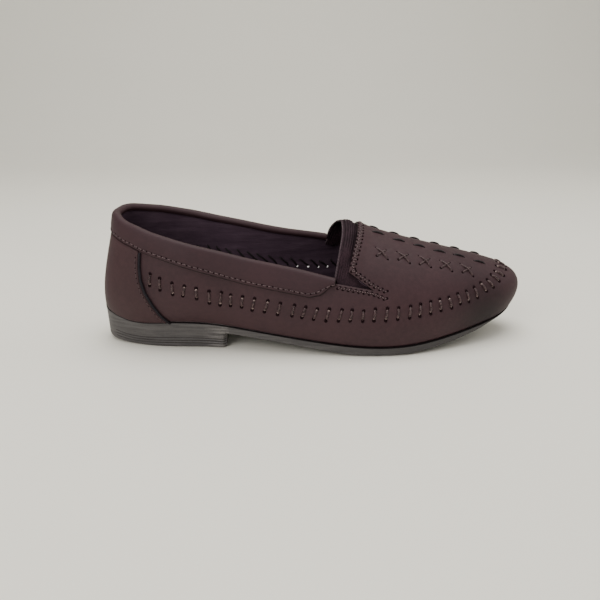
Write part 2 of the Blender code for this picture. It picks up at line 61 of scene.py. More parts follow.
# name, feather x, y outer, y inner, z, ankle x, ankle half breadth, ankle z
STATIONS = [
    ("back", 0.5, 0.0, 0.0, 20.8, 12.0, 0.0, 88.0),
    ("turn", 4.2, -10.3, 10.3, 19.2, 15.2, 9.0, 88.0),
    ("corner", 16.5, -18.0, 18.0, 15.2, 24.0, 16.0, 88.0),
    ("heel", 35.0, -23.4, 23.2, 15.2, 39.0, 20.5, 88.0),
    ("seat", 60.0, -25.6, 23.0, 15.2, 58.0, 21.0, 88.0),
    ("waist", 92.0, -32.4, 23.5, 12.0, 77.0, 19.0, 87.0),
    ("arch", 124.0, -38.8, 29.0, 8.0, 91.0, 14.5, 86.0),
    ("ball", 152.0, -42.9, 36.3, 5.4, 100.5, 13.5, 85.0),
    ("joint", 178.0, -42.0, 38.5, 5.4, 107.0, 11.8, 84.5),
    ("toes", 203.0, -35.0, 34.0, 8.2, 111.5, 9.2, 84.0),
    ("small", 226.0, -25.8, 25.6, 12.4, 114.5, 6.0, 84.0),
    ("cap", 242.3, -15.5, 15.5, 16.2, 115.7, 2.9, 84.0),
    ("tip", 250.6, 0.0, 0.0, 19.0, 116.0, 0.0, 84.0),
]
# name, belly out, belly up, middle out, middle up, high out, high up, all from the feather
PROFILES = [
    ("back", -0.4, 10.2, -0.8, 24.2, -8.0, 46.2),
    ("turn", 3.1, 10.3, 1.9, 24.8, -7.2, 46.8),
    ("corner", 8.5, 13.0, 8.5, 27.0, -4.8, 50.0),
    ("heel", 10.5, 12.5, 11.0, 28.0, -1.0, 51.0),
    ("seat", 14.5, 11.5, 13.0, 27.0, -0.5, 51.5),
    ("waist", 15.5, 10.5, 13.0, 26.0, -13.0, 51.0),
    ("arch", 12.5, 11.0, 10.5, 24.5, -24.0, 49.5),
    ("ball", 10.0, 13.5, 6.5, 30.5, -30.5, 47.0),
    ("joint", 7.0, 15.0, 5.0, 35.0, -37.5, 46.0),
    ("toes", 8.0, 18.0, 3.0, 37.5, -46.5, 42.0),
    ("small", 9.0, 19.0, 0.5, 36.5, -54.0, 36.0),
    ("cap", 11.0, 19.5, -0.8, 35.0, -60.0, 31.0),
    ("tip", 11.7, 20.0, -1.2, 33.0, -61.0, 29.0),
]


class ClosedCurve:
    """A closed cubic curve through rows of numbers, spaced by the chords of their first two columns."""

    def __init__(self, rows):
        count = len(rows)
        self.rows = rows
        self.step = np.linalg.norm(np.roll(rows[:, :2], -1, axis=0) - rows[:, :2], axis=1)
        self.knots = np.concatenate([[0.0], np.cumsum(self.step)])
        self.total = self.knots[-1]
        system = np.zeros((count, count))
        right = np.zeros_like(rows)
        for i in range(count):
            following = (i + 1) % count
            before, after = self.step[i - 1], self.step[i]
            system[i, i - 1] += before
            system[i, i] += 2 * (before + after)
            system[i, following] += after
            right[i] = 6 * ((rows[following] - rows[i]) / after - (rows[i] - rows[i - 1]) / before)
        self.bend = np.linalg.solve(system, right)

    def at(self, t):
        place = np.asarray(t, float) % 1.0 * self.total
        i = np.clip(np.searchsorted(self.knots, place, side="right") - 1, 0, len(self.rows) - 1)
        j = (i + 1) % len(self.rows)
        step = self.step[i][..., None]
        past = (place - self.knots[i])[..., None]
        left = step - past
        return (
            (self.bend[i] * left**3 + self.bend[j] * past**3) / (6 * step)
            + (self.rows[i] / step - self.bend[i] * step / 6) * left
            + (self.rows[j] / step - self.bend[j] * step / 6) * past
        )


def last_rows():
    """One row per station: along the outer side to the toe, then back along the inner side."""
    outer = []
    inner = []
    for station, profile in zip(STATIONS, PROFILES):
        _, x, y_outer, y_inner, z, ankle_x, half_breadth, ankle_z = station
        outer.append([x, y_outer, z, ankle_x, -half_breadth, ankle_z, *profile[1:]])
        inner.append([x, y_inner, z, ankle_x, half_breadth, ankle_z, *profile[1:]])
    return np.array(outer + inner[-2:0:-1])


LAST = ClosedCurve(last_rows())
TOE_T = LAST.knots[len(STATIONS) - 1] / LAST.total
print("way round the feather: %.0f mm" % LAST.total)

# %% [markdown]
# A place on the last has two numbers: t goes once round the foot from the heel's back, and v climbs
# from the feather, where leather meets sole, to the ankle. Each profile is a quartic Bezier curve,
# which bellies out at the side and leans in at the top as leather pulled over a last does.

# %% Points, directions and lines on the last
SMALL = 1e-4
PROBE = 241          # samples along a profile when a line is looked for


def last_point(t, v):
    t, v = np.broadcast_arrays(np.asarray(t, float), np.asarray(v, float))
    row = LAST.at(t)
    feather, ankle = row[..., 0:3], row[..., 3:6]
    way = (feather - ankle)[..., :2]
    way = way / np.linalg.norm(way, axis=-1, keepdims=True)
    points = [feather]
    for handle in range(3):
        out, up = row[..., 6 + 2 * handle], row[..., 7 + 2 * handle]
        level = feather[..., :2] + way * out[..., None]
        points.append(np.concatenate([level, (feather[..., 2] + up)[..., None]], axis=-1))
    points.append(ankle)
    total = 0.0
    for k, point in enumerate(points):
        weight = math.comb(4, k) * v**k * (1 - v) ** (4 - k)
        total = total + weight[..., None] * point
    return total


def last_normal(t, v):
    t, v = np.broadcast_arrays(np.asarray(t, float), np.asarray(v, float))
    along = last_point(t + SMALL, v) - last_point(t - SMALL, v)
    up = last_point(t, np.minimum(v + SMALL, 1)) - last_point(t, np.maximum(v - SMALL, 0))
    normal = np.cross(along, up)
    return normal / np.linalg.norm(normal, axis=-1, keepdims=True)


def lifted(t, v, lift):
    """A point that stands a lift, in millimetres, over the last."""
    lift = np.broadcast_to(np.asarray(lift, float), np.broadcast(t, v).shape)
    return last_point(t, v) + last_normal(t, v) * lift[..., None]


def profile_samples(t):
    v = np.linspace(0, 1, PROBE)
    return v, last_point(np.asarray(t, float)[:, None], v[None, :])


def first_v(t, field):
    """For each t, the lowest v at which the field turns positive."""
    v, points = profile_samples(t)
    value = field(points)
    k = np.clip(np.argmax(value > 0, axis=1), 1, PROBE - 1)
    rows = np.arange(len(k))
    low, high = value[rows, k - 1], value[rows, k]
    share = np.clip(-low / np.where(high == low, 1, high - low), 0, 1)
    return v[k - 1] + share * (v[k] - v[k - 1])


def run_along(points):
    """How far each point of a line lies from the line's start, measured along it."""
    gaps = np.linalg.norm(np.diff(points, axis=-2), axis=-1)
    return np.concatenate([0 * gaps[..., :1], np.cumsum(gaps, axis=-1)], axis=-1)


def step_v(t, start, distance):
    """v reached by going a distance along the profile from start: up if positive, down if negative."""
    v, points = profile_samples(t)
    start = np.broadcast_to(np.asarray(start, float), (len(points),))
    distance = np.broadcast_to(np.asarray(distance, float), (len(points),))
    reached = []
    for run, begin, length in zip(run_along(points), start, distance):
        reached.append(np.interp(np.interp(begin, v, run) + length, run, v))
    return np.array(reached)


def profile_length(t, low, high):
    """Length of the profile between two values of v."""
    v, points = profile_samples(t)
    ends = zip(run_along(points), low, high)
    return np.array([np.interp(top, v, run) - np.interp(bottom, v, run) for run, bottom, top in ends])


print("profile at the heel's back: %.0f mm" % profile_length([0.0], [0.0], [1.0])[0])

# %% [markdown]
# The pattern lines come next: the topline, the V cut at each side of the throat for the elastic, the
# edge of the vamp and the free edge of the elastic. Each is a short rule in side or top view, so a
# line lands on the last wherever its profile crosses it. The outer topline lies about 1 mm lower here
# than on the solids, and the band's lower edge is up to 2 mm away near the heel.

# %% Pattern lines
# topline in side view: x, outer z, inner z
COLLAR = [
    (9.3, 75.3, 75.3),
    (12.0, 74.0, 76.5),
    (15.0, 72.2, 76.7),
    (19.0, 70.6, 76.1),
    (24.0, 69.1, 75.2),
    (32.0, 66.4, 74.0),
    (56.0, 60.2, 69.2),
    (84.0, 53.3, 63.8),
    (112.0, 47.5, 58.0),
    (136.0, 42.0, 53.7),
    (150.0, 38.7, 51.2),
]
# depth of the band's outer leaf along the topline: x, outer, inner
BAND_DEPTH = [
    (9.0, 9.3, 9.3),
    (14.0, 8.2, 11.0),
    (22.0, 8.7, 12.6),
    (45.0, 9.8, 13.0),
    (75.0, 12.7, 14.4),
    (114.0, 15.4, 15.4),
    (121.5, 12.1, 12.1),
    (128.0, 6.6, 6.6),
    (135.0, 1.2, 1.2),
]
# V in side view: rear corner, vamp corner and apex as x, z
NOTCH_OUTER = ((136.0, 42.0), (144.6, 47.2), (157.0, 38.6))
NOTCH_INNER = ((136.0, 53.7), (149.5, 53.5), (159.5, 47.5))
# edges in top view: x at the middle, bow per square millimetre, y of the middle
VAMP_EDGE = (152.7, 0.0064, 3.0)
THROAT_EDGE = (143.6, 0.0077, -4.0)
FLOW_V = 0.42        # where the line ahead of each V reaches the middle of the toe


def by_side(table, points):
    """A table of x, outer and inner values, read at each point for the side that it lies on."""
    x, outer, inner = np.array(table).T
    here = points[..., 0]
    return np.where(points[..., 1] < 0, np.interp(here, x, outer), np.interp(here, x, inner))


def above_collar(points):
    return points[..., 2] - by_side(COLLAR, points)


def above_line(start, end):
    """A field that is positive above a straight line of the side view."""
    slope = (end[1] - start[1]) / (end[0] - start[0])
    return lambda points: points[..., 2] - start[1] - slope * (points[..., 0] - start[0])


def behind_edge(edge):
    middle_x, bow, middle_y = edge
    return lambda points: middle_x - bow * (points[..., 1] - middle_y) ** 2 - points[..., 0]


def station_of(place, outer):
    """The t whose profile passes through a point of the side view."""
    ends = (SMALL, TOE_T - SMALL) if outer else (TOE_T + SMALL, 1 - SMALL)
    t = np.linspace(*ends, 801)
    _, points = profile_samples(t)
    away = np.hypot(points[..., 0] - place[0], points[..., 2] - place[1])
    return t[np.argmin(away.min(axis=1))]


CORNER_OUTER, MEET_OUTER, APEX_OUTER = (station_of(place, True) for place in NOTCH_OUTER)
CORNER_INNER, MEET_INNER, APEX_INNER = (station_of(place, False) for place in NOTCH_INNER)


def notch_of(t):
    if t < TOE_T:
        return NOTCH_OUTER, CORNER_OUTER, APEX_OUTER
    return NOTCH_INNER, CORNER_INNER, APEX_INNER


def quarter_top_v(ts):
    """Top of the quarters: the topline, then the V's lower edge, then a line across the toe."""
    found = []
    for t in ts:
        notch, corner, apex = notch_of(t)
        here = np.array([t])
        if abs(t - TOE_T) >= abs(corner - TOE_T):
            found.append(first_v(here, above_collar)[0])
        elif abs(t - TOE_T) >= abs(apex - TOE_T):
            found.append(first_v(here, above_line(notch[0], notch[2]))[0])
        else:
            start = first_v(np.array([apex]), above_line(notch[0], notch[2]))[0]
            share = abs(t - apex) / abs(TOE_T - apex)
            found.append(start + (FLOW_V - start) * (0.5 - 0.5 * math.cos(math.pi * share)))
    return np.array(found)


def vamp_bottom_v(ts):
    """Bottom of the vamp: the V's upper edge, then the line across the toe."""
    found = []
    for t in ts:
        notch, _, apex = notch_of(t)
        if abs(t - TOE_T) > abs(apex - TOE_T):
            found.append(first_v(np.array([t]), above_line(notch[1], notch[2]))[0])
        else:
            found.append(quarter_top_v([t])[0])
    return np.array(found)


def band_depth(t, edge):
    return by_side(BAND_DEPTH, last_point(t, edge))


print("V of the outer side at t %.3f to %.3f" % (CORNER_OUTER, APEX_OUTER))

# %% [markdown]
# Every piece is a grid made by one Blender operator, whose points are then moved to their places.
# A grid could be written out face by face, but the operator keeps the order of the faces, and so
# the side that faces out, the same for leather, rubber and thread.

# %% Grids and pieces
WELD = 0.002 * MM


def to_frame(points):
    """Points in metres from the frame's origin."""
    return (np.asarray(points, float) - [ORIGIN_X, 0.0, 0.0]) * MM


def add_grid(mesh, points, second=None):
    """Adds a grid of points by column, row and axis, in millimetres; second marks the second finish."""
    columns, rows = points.shape[0] - 1, points.shape[1] - 1
    made = bmesh.ops.create_grid(mesh, x_segments=columns, y_segments=rows, size=0.5)["verts"]
    spots = np.array([vert.co[:2] for vert in made]) + 0.5
    column = np.rint(spots[:, 0] * columns).astype(int)
    row = np.rint(spots[:, 1] * rows).astype(int)
    for vert, place in zip(made, to_frame(points[column, row])):
        vert.co = place
    if second is not None:
        marked = {vert for vert, here in zip(made, second[column, row]) if here}
        for face in {face for vert in marked for face in vert.link_faces}:
            face.material_index = int(all(vert in marked for vert in face.verts))
    return made


def add_tube(mesh, path, radius, sides, second=None):
    """Adds a closed tube along a path in millimetres; second marks path points of the second finish."""
    path = np.asarray(path, float)
    along = np.gradient(path, axis=0)
    along /= np.linalg.norm(along, axis=1, keepdims=True)
    helper = np.where(np.abs(along[:, 2:3]) < 0.9, [[0.0, 0.0, 1.0]], [[1.0, 0.0, 0.0]])
    aside = np.cross(along, helper)
    aside /= np.linalg.norm(aside, axis=1, keepdims=True)
    upright = np.cross(aside, along)
    turn = np.linspace(0, 2 * math.pi, sides + 1)[None, :, None]
    radius = np.broadcast_to(np.asarray(radius, float), (len(path),))[:, None, None]
    ring = aside[:, None] * np.cos(turn) + upright[:, None] * np.sin(turn)
    marks = None if second is None else np.repeat(second[:, None], sides + 1, axis=1)
    made = add_grid(mesh, path[:, None] + radius * ring, marks)
    bmesh.ops.remove_doubles(mesh, verts=made, dist=WELD)
    rims = [edge for edge in {e for v in made if v.is_valid for e in v.link_edges} if edge.is_boundary]
    bmesh.ops.holes_fill(mesh, edges=rims, sides=sides)


def new_object(name, mesh, finishes):
    """Puts a bmesh into the scene as a smooth object with its materials."""
    data = bpy.data.meshes.new(name)
    mesh.to_mesh(data)
    mesh.free()
    data.shade_smooth()
    for finish in finishes:
        data.materials.append(finish)
    made = bpy.data.objects.new(name, data)
    bpy.context.scene.collection.objects.link(made)
    return made


def add_piece(name, mesh, slot, *finishes, node=None):
    """Makes a piece of the shoe from a bmesh; a piece that stands for a solid names its node."""
    bmesh.ops.remove_doubles(mesh, verts=mesh.verts, dist=WELD)
    piece = new_object(name, mesh, finishes)
    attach(piece, "root")
    if node:
        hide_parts(node)
    print("%s: %d faces" % (name, len(piece.data.polygons)))
    return piece


def seal(mesh, caps=False):
    """Welds a mesh's seams, fills its open ends where asked, and turns its faces outwards."""
    bmesh.ops.remove_doubles(mesh, verts=mesh.verts, dist=WELD)
    if caps:
        bmesh.ops.holes_fill(mesh, edges=[edge for edge in mesh.edges if edge.is_boundary], sides=0)
    bmesh.ops.recalc_face_normals(mesh, faces=mesh.faces)


def thicken(piece, thickness, inner=0, rim=0):
    """Gives an open sheet its thickness, to the side away from its normals."""
    wall = piece.modifiers.new("wall", "SOLIDIFY")
    wall.thickness = thickness * MM
    wall.offset = -1.0
    wall.use_rim = True
    wall.material_offset = inner
    wall.material_offset_rim = rim


def steps(first, *parts):
    """One run of numbers from pairs of (end, count)."""
    run = [first]
    for end, count in parts:
        run.extend(np.linspace(run[-1], end, count + 1)[1:])
    return np.array(run)


def cells(start, end, size):
    """How many faces of a size fit between two places on the way round."""
    return max(2, math.ceil(abs(end - start) * LAST.total / size))


print("faces of 1 mm round the last:", cells(0.0, 1.0, 1.0))

# %% [markdown]
# Materials are built as node graphs. A small class lets sockets be added and multiplied like numbers,
# so a pattern reads as a formula. Each finish is one Principled shader: what is the same all over is
# set on the shader, and only what varies gets nodes.

# %% Node formulas
class Field:
    """A socket in a formula; each operation adds one Math node."""

    def __init__(self, finish, socket):
        self.finish = finish
        self.socket = socket

    def math(self, operation, first, second):
        return self.finish.node("ShaderNodeMath", {"operation": operation}, {0: first, 1: second})

    def __add__(self, other):
        return self.math("ADD", self, other)

    def __radd__(self, other):
        return self.math("ADD", other, self)

    def __mul__(self, other):
        return self.math("MULTIPLY", self, other)

    def __rmul__(self, other):
        return self.math("MULTIPLY", other, self)


class Finish:
    """A material with one Principled shader."""

    def __init__(self, name, constants):
        self.material = bpy.data.materials.new(name)
        self.material.use_nodes = True
        self.tree = self.material.node_tree
        self.shader = self.tree.nodes["Principled BSDF"]
        for socket, value in constants.items():
            self.shader.inputs[socket].default_value = value
        self.place = self.node("ShaderNodeTexCoord", {}, {}, "Object")

    def node(self, kind, settings, sockets, output=0):
        made = self.tree.nodes.new(kind)
        for name, value in settings.items():
            setattr(made, name, value)
        for name, value in sockets.items():
            if isinstance(value, Field):
                self.tree.links.new(value.socket, made.inputs[name])
            else:
                made.inputs[name].default_value = value
        return Field(self, made.outputs[output])

    def noise(self, scale, detail, stretch=(1.0, 1.0, 1.0)):
        place = self.node("ShaderNodeVectorMath", {"operation": "MULTIPLY"}, {0: self.place, 1: stretch})
        return self.node("ShaderNodeTexNoise", {}, {"Vector": place, "Scale": scale, "Detail": detail})

    def blend(self, share, first, second):
        return self.node("ShaderNodeMix", {"data_type": "RGBA"}, {0: share, 6: first, 7: second}, 2)

    def step(self, value, low, high):
        """0 below low, 1 above high, and a soft climb between them."""
        settings = {"interpolation_type": "SMOOTHSTEP"}
        return self.node("ShaderNodeMapRange", settings, {"Value": value, 1: low, 2: high})

    def bump(self, height, distance, strength):
        inputs = {"Height": height, "Distance": distance, "Strength": strength}
        return self.node("ShaderNodeBump", {}, inputs)

    def feed(self, fields):
        for socket, field in fields.items():
            self.tree.links.new(field.socket, self.shader.inputs[socket])
        return self.material


def shade(red, green, blue):
    """A colour from screen values of 0 to 255, as the linear values that nodes use."""
    linear = []
    for value in (red, green, blue):
        value = value / 255
        linear.append(value / 12.92 if value <= 0.04045 else ((value + 0.055) / 1.055) ** 2.4)
    return (*linear, 1.0)


print("a middle grey on screen is %.2f in a node" % shade(128, 128, 128)[0])

# %% [markdown]
# Smooth buffed calf has a soft cloudy colour, a fine grain of pores, and a sheen that is broad and
# weak. The colour is mixed from two browns by a wide noise and a fine one, and darkened low on the
# toe by painted shade; the grain is cells much smaller than a stitch, so it shows only as texture.

# %% Leather
TOE_PAINTED_SHADE_SPOT = (0.190, -0.029, 0.016)   # middle of the painted shade low on the toe, in the frame
TOE_PAINTED_SHADE_REACH = 0.028
TOE_PAINTED_SHADE = shade(20, 15, 18)
TOE_PAINTED_SHADE_SHARE = 0.75       # how much of the painted shade shows in its middle
PORES = 1150.0       # scale of the grain's cells


def leather(name, dark, light, grain, shine=0.23):
    finish = Finish(name, {"Specular IOR Level": shine})
    cloud = finish.noise(30.0, 3.0)
    speck = finish.noise(420.0, 4.0)
    spot = {0: finish.place, 1: TOE_PAINTED_SHADE_SPOT}
    away = finish.node("ShaderNodeVectorMath", {"operation": "DISTANCE"}, spot, "Value")
    # painted shade: the leather darkens towards a spot low on the toe
    toe_painted_shade = finish.step(away, TOE_PAINTED_SHADE_REACH, 0.0)
    share = finish.step(cloud * 0.6 + speck * 0.4, 0.3, 0.7)
    pores = finish.node("ShaderNodeTexVoronoi", {"feature": "F1"}, {"Vector": finish.place, "Scale": PORES})
    fine = finish.noise(2600.0, 3.0)
    return finish.feed({
        "Base Color": finish.blend(toe_painted_shade * TOE_PAINTED_SHADE_SHARE, finish.blend(share, dark, light), TOE_PAINTED_SHADE),
        "Roughness": 0.52 + cloud * 0.12 + fine * 0.06,
        "Normal": finish.bump(pores * 0.7 + fine * 0.5 + speck * 0.8, 0.00016, grain),
    })


UPPER_LEATHER = leather("upper_leather", shade(51, 34, 38), shade(61, 41, 45), 0.26)
COUNTER_LEATHER = leather("counter_leather", shade(54, 36, 39), shade(63, 42, 45), 0.26)
BAND_LEATHER = leather("band_leather", shade(49, 31, 36), shade(57, 36, 41), 0.20, 0.26)
# dark cut edges of the leather, also used as painted shadow under the band's lower edge
CUT_EDGE_AND_SHADE_LEATHER = leather("cut_edge_and_painted_shade", shade(22, 15, 17), shade(30, 20, 22), 0.5)
print("leathers made")

# %% [markdown]
# Beside the leather there are a thin fabric lining, the ribbed elastic, a dark corded piping, waxed
# thread, the painted shade inside a needle hole, the sock on the insole, and moulded rubber with faint
# streaks from the buffing wheel.

# %% Fabrics, thread and rubber
# places along the shoe on the sole's side, in metres from the frame's origin
BREAST_GLINT_STARTS = (0.020, 0.034)   # a painted highlight near the heel's front corner grows between these
BREAST_GLINT_ENDS = (0.038, 0.036)     # and stops between these
FOREPART = (0.07, 0.15)        # the rubber darkens between these
BREAST_GLINT = 0.45
DARKER = 0.8


def lining_fabric():
    finish = Finish("lining", {"Specular IOR Level": 0.2, "Roughness": 0.85})
    cloud = finish.noise(60.0, 3.0)
    fold = finish.noise(90.0, 3.0, (0.35, 0.35, 2.6))
    weave = finish.noise(3200.0, 2.0)
    share = finish.step(cloud * 0.5 + fold * 0.5, 0.35, 0.68)
    return finish.feed({
        "Base Color": finish.blend(share, shade(69, 53, 66), shade(83, 66, 79)),
        "Normal": finish.bump(fold * 2.5 + weave * 0.25, 0.0006, 0.6),
    })


def webbing():
    finish = Finish("elastic_webbing", {"Specular IOR Level": 0.15, "Roughness": 0.8})
    cloud = finish.noise(150.0, 3.0)
    yarn = finish.noise(2400.0, 2.0, (1.0, 0.4, 0.4))
    share = finish.step(cloud * 0.4 + yarn * 0.6, 0.36, 0.66)
    return finish.feed({
        "Base Color": finish.blend(share, shade(30, 18, 24), shade(50, 33, 41)),
        "Normal": finish.bump(yarn, 0.0003, 0.6),
    })


def cord(name, dark, light, rough, shine=0.3):
    finish = Finish(name, {"Specular IOR Level": shine, "Roughness": rough})
    ply = finish.noise(1500.0, 2.0)
    return finish.feed({
        "Base Color": finish.blend(finish.step(ply, 0.36, 0.64), dark, light),
        "Normal": finish.bump(ply, 0.0003, 0.7),
    })


# painted light: a glowing plug set into the lining where light shows through a needle hole
def lit_hole():
    finish = Finish("lit_hole", {"Emission Color": (1.0, 0.97, 0.92, 1.0), "Emission Strength": 0.7})
    grain = finish.noise(900.0, 2.0)
    return finish.feed({"Base Color": finish.blend(grain, shade(215, 208, 200), shade(245, 240, 232))})


def sock():
    finish = Finish("sock_lining", {"Specular IOR Level": 0.25, "Roughness": 0.8})
    cloud = finish.noise(45.0, 4.0)
    nap = finish.noise(1800.0, 2.0)
    return finish.feed({
        "Base Color": finish.blend(finish.step(cloud, 0.35, 0.65), shade(24, 19, 22), shade(40, 32, 33)),
        "Normal": finish.bump(nap, 0.0003, 0.5),
    })


def rubber():
    finish = Finish("sole_rubber", {"Specular IOR Level": 0.4})
    streak = finish.noise(60.0, 3.0, (1.0, 1.0, 14.0))
    dust = finish.noise(900.0, 4.0)
    x = finish.node("ShaderNodeSeparateXYZ", {}, {"Vector": finish.place}, "X")
    share = finish.step(streak * 0.8 + dust * 0.2, 0.34, 0.68)
    # painted highlight: the rubber is lightened near the heel's front corner
    breast_glint = finish.step(x, *BREAST_GLINT_STARTS) * finish.step(x, *BREAST_GLINT_ENDS)
    base = finish.blend(share, shade(62, 59, 60), shade(82, 79, 79))
    base = finish.blend(finish.step(x, *FOREPART) * DARKER, base, shade(52, 49, 50))
    return finish.feed({
        "Base Color": finish.blend(breast_glint * BREAST_GLINT * share, base, shade(150, 146, 143)),
        "Roughness": 0.42 + streak * 0.2 + dust * 0.1,
        "Normal": finish.bump(streak * 0.8 + dust * 0.15, 0.00025, 0.4),
    })


LINING = lining_fabric()
WEBBING = webbing()
# darker webbing in the grooves between ribs: painted shade
WEBBING_PAINTED_SHADE = cord("elastic_groove_shade", shade(14, 8, 12), shade(24, 15, 20), 0.9, 0.1)
SELVAGE = cord("elastic_selvage", shade(48, 36, 42), shade(74, 59, 65), 0.8)
PIPING = cord("piping_cord", shade(18, 15, 21), shade(30, 25, 32), 0.6, 0.2)
CORD = cord("waxed_cord", shade(42, 28, 31), shade(84, 65, 66), 0.42)
# pale parts of the cord next to its holes: painted glints
CORD_GLINT = cord("cord_glint", shade(84, 66, 65), shade(152, 134, 130), 0.5)
THREAD = cord("seam_thread", shade(56, 42, 46), shade(102, 84, 86), 0.6)
SOFT_THREAD = cord("soft_thread", shade(48, 34, 37), shade(84, 66, 67), 0.6)
# thread coloured darker as painted shade: the dashes pulled into the leather and the cord inside the shoe
SHADED_THREAD = cord("shaded_thread", shade(18, 13, 16), shade(34, 25, 28), 0.6)
NEEDLE_HOLE = cord("needle_hole", shade(25, 16, 19), shade(36, 24, 27), 1.0, 0.0)
LIT_HOLE = lit_hole()
# near-black bead in the gap between leather and sole: painted shadow
SHADOW_BEAD = cord("sole_shadow_bead", shade(10, 6, 8), shade(20, 13, 15), 0.9, 0.1)
# darker rubber in the heel's grooves: painted shade
RUBBER_GROOVE_SHADE = cord("rubber_groove_shade", shade(44, 41, 42), shade(58, 54, 55), 0.7, 0.2)
SOCK = sock()
RUBBER = rubber()
print("fabrics, thread and rubber made")

# %% [markdown]
# Stitches are placed before the leather is cut, because each needle hole pulls a small dent into it.
# The last itself serves as the first surface to place them on: a ray from the side or from above
# finds the spot, in the same way as a pattern maker pricks through a template.

# %% A surface to place things on
FAR = 150.0          # rays start this far out, well clear of the last


def to_table(place):
    """The opposite of to_frame: millimetres from the heel's back."""
    return np.array(place) / MM + [ORIGIN_X, 0.0, 0.0]


class Surface:
    """A skin on which spots are found; points are in millimetres."""

    def __init__(self, mesh):
        self.tree = BVHTree.FromBMesh(mesh)

    def seen(self, start, way):
        place, _, _, _ = self.tree.ray_cast(Vector(to_frame(start)), Vector(way))
        return to_table(place)

    def from_side(self, x, z, outer):
        return self.seen((x, -FAR, z), (0, 1, 0)) if outer else self.seen((x, FAR, z), (0, -1, 0))

    def from_above(self, x, y):
        return self.seen((x, y, FAR), (0, 0, -1))

    def near(self, point):
        place, normal, _, _ = self.tree.find_nearest(Vector(to_frame(point)))
        return to_table(place), np.array(normal)

    def lay(self, points, lifts):
        """The points laid on the skin, each with its own lift."""
        laid = []
        for point, lift in zip(points, np.broadcast_to(lifts, (len(points),))):
            place, normal = self.near(point)
            laid.append(place + normal * lift)
        return np.array(laid)


last_mesh = bmesh.new()
add_grid(last_mesh, last_point(np.linspace(0, 1, 401)[:, None], np.linspace(0, 1, 121)[None, :]))
LAST_SKIN = Surface(last_mesh)
last_mesh.free()
print("the last as a surface")

# %% [markdown]
# A row of whip stitches runs at half height from the counter round the toe and back to the counter,
# as on hand-sewn slip-ons. Its height and spacing wander, as hand work does, so they are a short table
# with one row for every few stitches. The inner side sits higher; there the stitches are evenly spaced.

# %% Whip stitches
# stitch number, t, height of its middle up the profile, lean as a share of the way round
WHIP_ROW = [
    (1, 0.0847, 29.3, 0.0010),
    (3, 0.1044, 25.9, 0.0008),
    (5, 0.1196, 23.8, 0.0005),
    (6, 0.1284, 21.9, 0.0010),
    (8, 0.1468, 21.2, 0.0021),
    (10, 0.1692, 20.6, 0.0032),
    (13, 0.2129, 20.2, 0.0055),
    (15, 0.2374, 19.5, 0.0070),
    (17, 0.2656, 19.9, 0.0057),
    (20, 0.3036, 21.6, 0.0055),
    (23, 0.3425, 21.6, 0.0055),
    (29, 0.4137, 22.0, 0.0034),
    (32, 0.4488, 24.4, 0.0010),
    (33, 0.4604, 25.9, 0.0000),
    (35, 0.4836, 28.9, -0.0015),
]
# the inner side from the toe to the heel: t, height, lean
WHIP_INNER = [
    (0.501, 29.5, 0.0000),
    (0.540, 26.5, -0.0010),
    (0.600, 28.0, -0.0040),
    (0.710, 32.6, -0.0085),
    (0.800, 33.2, -0.0085),
    (0.840, 33.6, -0.0050),
    (0.876, 34.2, -0.0035),
    (0.916, 34.6, -0.0020),
]
WHIP_INNER_PITCH = 6.9
WHIP_INNER_AT = 0.7527   # one of its stitches is here
WHIP_HALF = 2.9      # half the length of a stitch


def whip_row(t):
    """Height and lean of the row at any place on it."""
    place, height, lean = np.array([row[1:] for row in WHIP_ROW] + WHIP_INNER).T
    return np.interp(t, place, height), np.interp(t, place, lean)


def whip_stitches():
    number, place, _, _ = np.array(WHIP_ROW).T
    outer = np.interp(np.arange(number[0], number[-1] + 1), number, place)
    t = np.linspace(place[-1], WHIP_INNER[-1][0], 401)
    middle = last_point(t, step_v(t, 0.0, whip_row(t)[0]))
    run = run_along(middle)
    first = np.interp(WHIP_INNER_AT, t, run) % WHIP_INNER_PITCH
    first += WHIP_INNER_PITCH * (first < WHIP_INNER_PITCH / 2)
    spots = np.concatenate([outer, np.interp(np.arange(first, run[-1], WHIP_INNER_PITCH), run, t)])
    height, lean = whip_row(spots)
    top = last_point(spots + lean / 2, step_v(spots + lean / 2, 0.0, height + WHIP_HALF))
    low = last_point(spots - lean / 2, step_v(spots - lean / 2, 0.0, height - WHIP_HALF))
    print("%d whip stitches, %d of them on the outer side" % (len(spots), len(outer)))
    return spots, top, low


WHIP_T, WHIP_TOP, WHIP_LOW = whip_stitches()

# %% [markdown]
# The vamp carries four ornamental rows: crosses at each side, and single dashes nearer the middle.
# They are counted off in top view from the vamp's edge towards the toe.

# %% Crosses and dashes
CROSS_START = (164.0, -22.8)
CROSS_STEP = (12.95, 0.75)
CROSS_HALF = (3.3, 2.7)
CROSS_COUNT = 5
DASH_X = 164.5
DASH_STEP_X = 12.3
DASH_Y = (-6.0, -8.1, -8.9, -9.7, -9.6, -10.7)
FAR_DASH_X = 163.5
FAR_DASH_STEP_X = 12.9
FAR_DASH_Y = (4.6, 4.6, 4.8, 5.2, 5.4, 5.2)
DASH_HALF = 3.35
CROSS_MIDDLE_Y = -1.0   # the far crosses mirror the near ones about this line


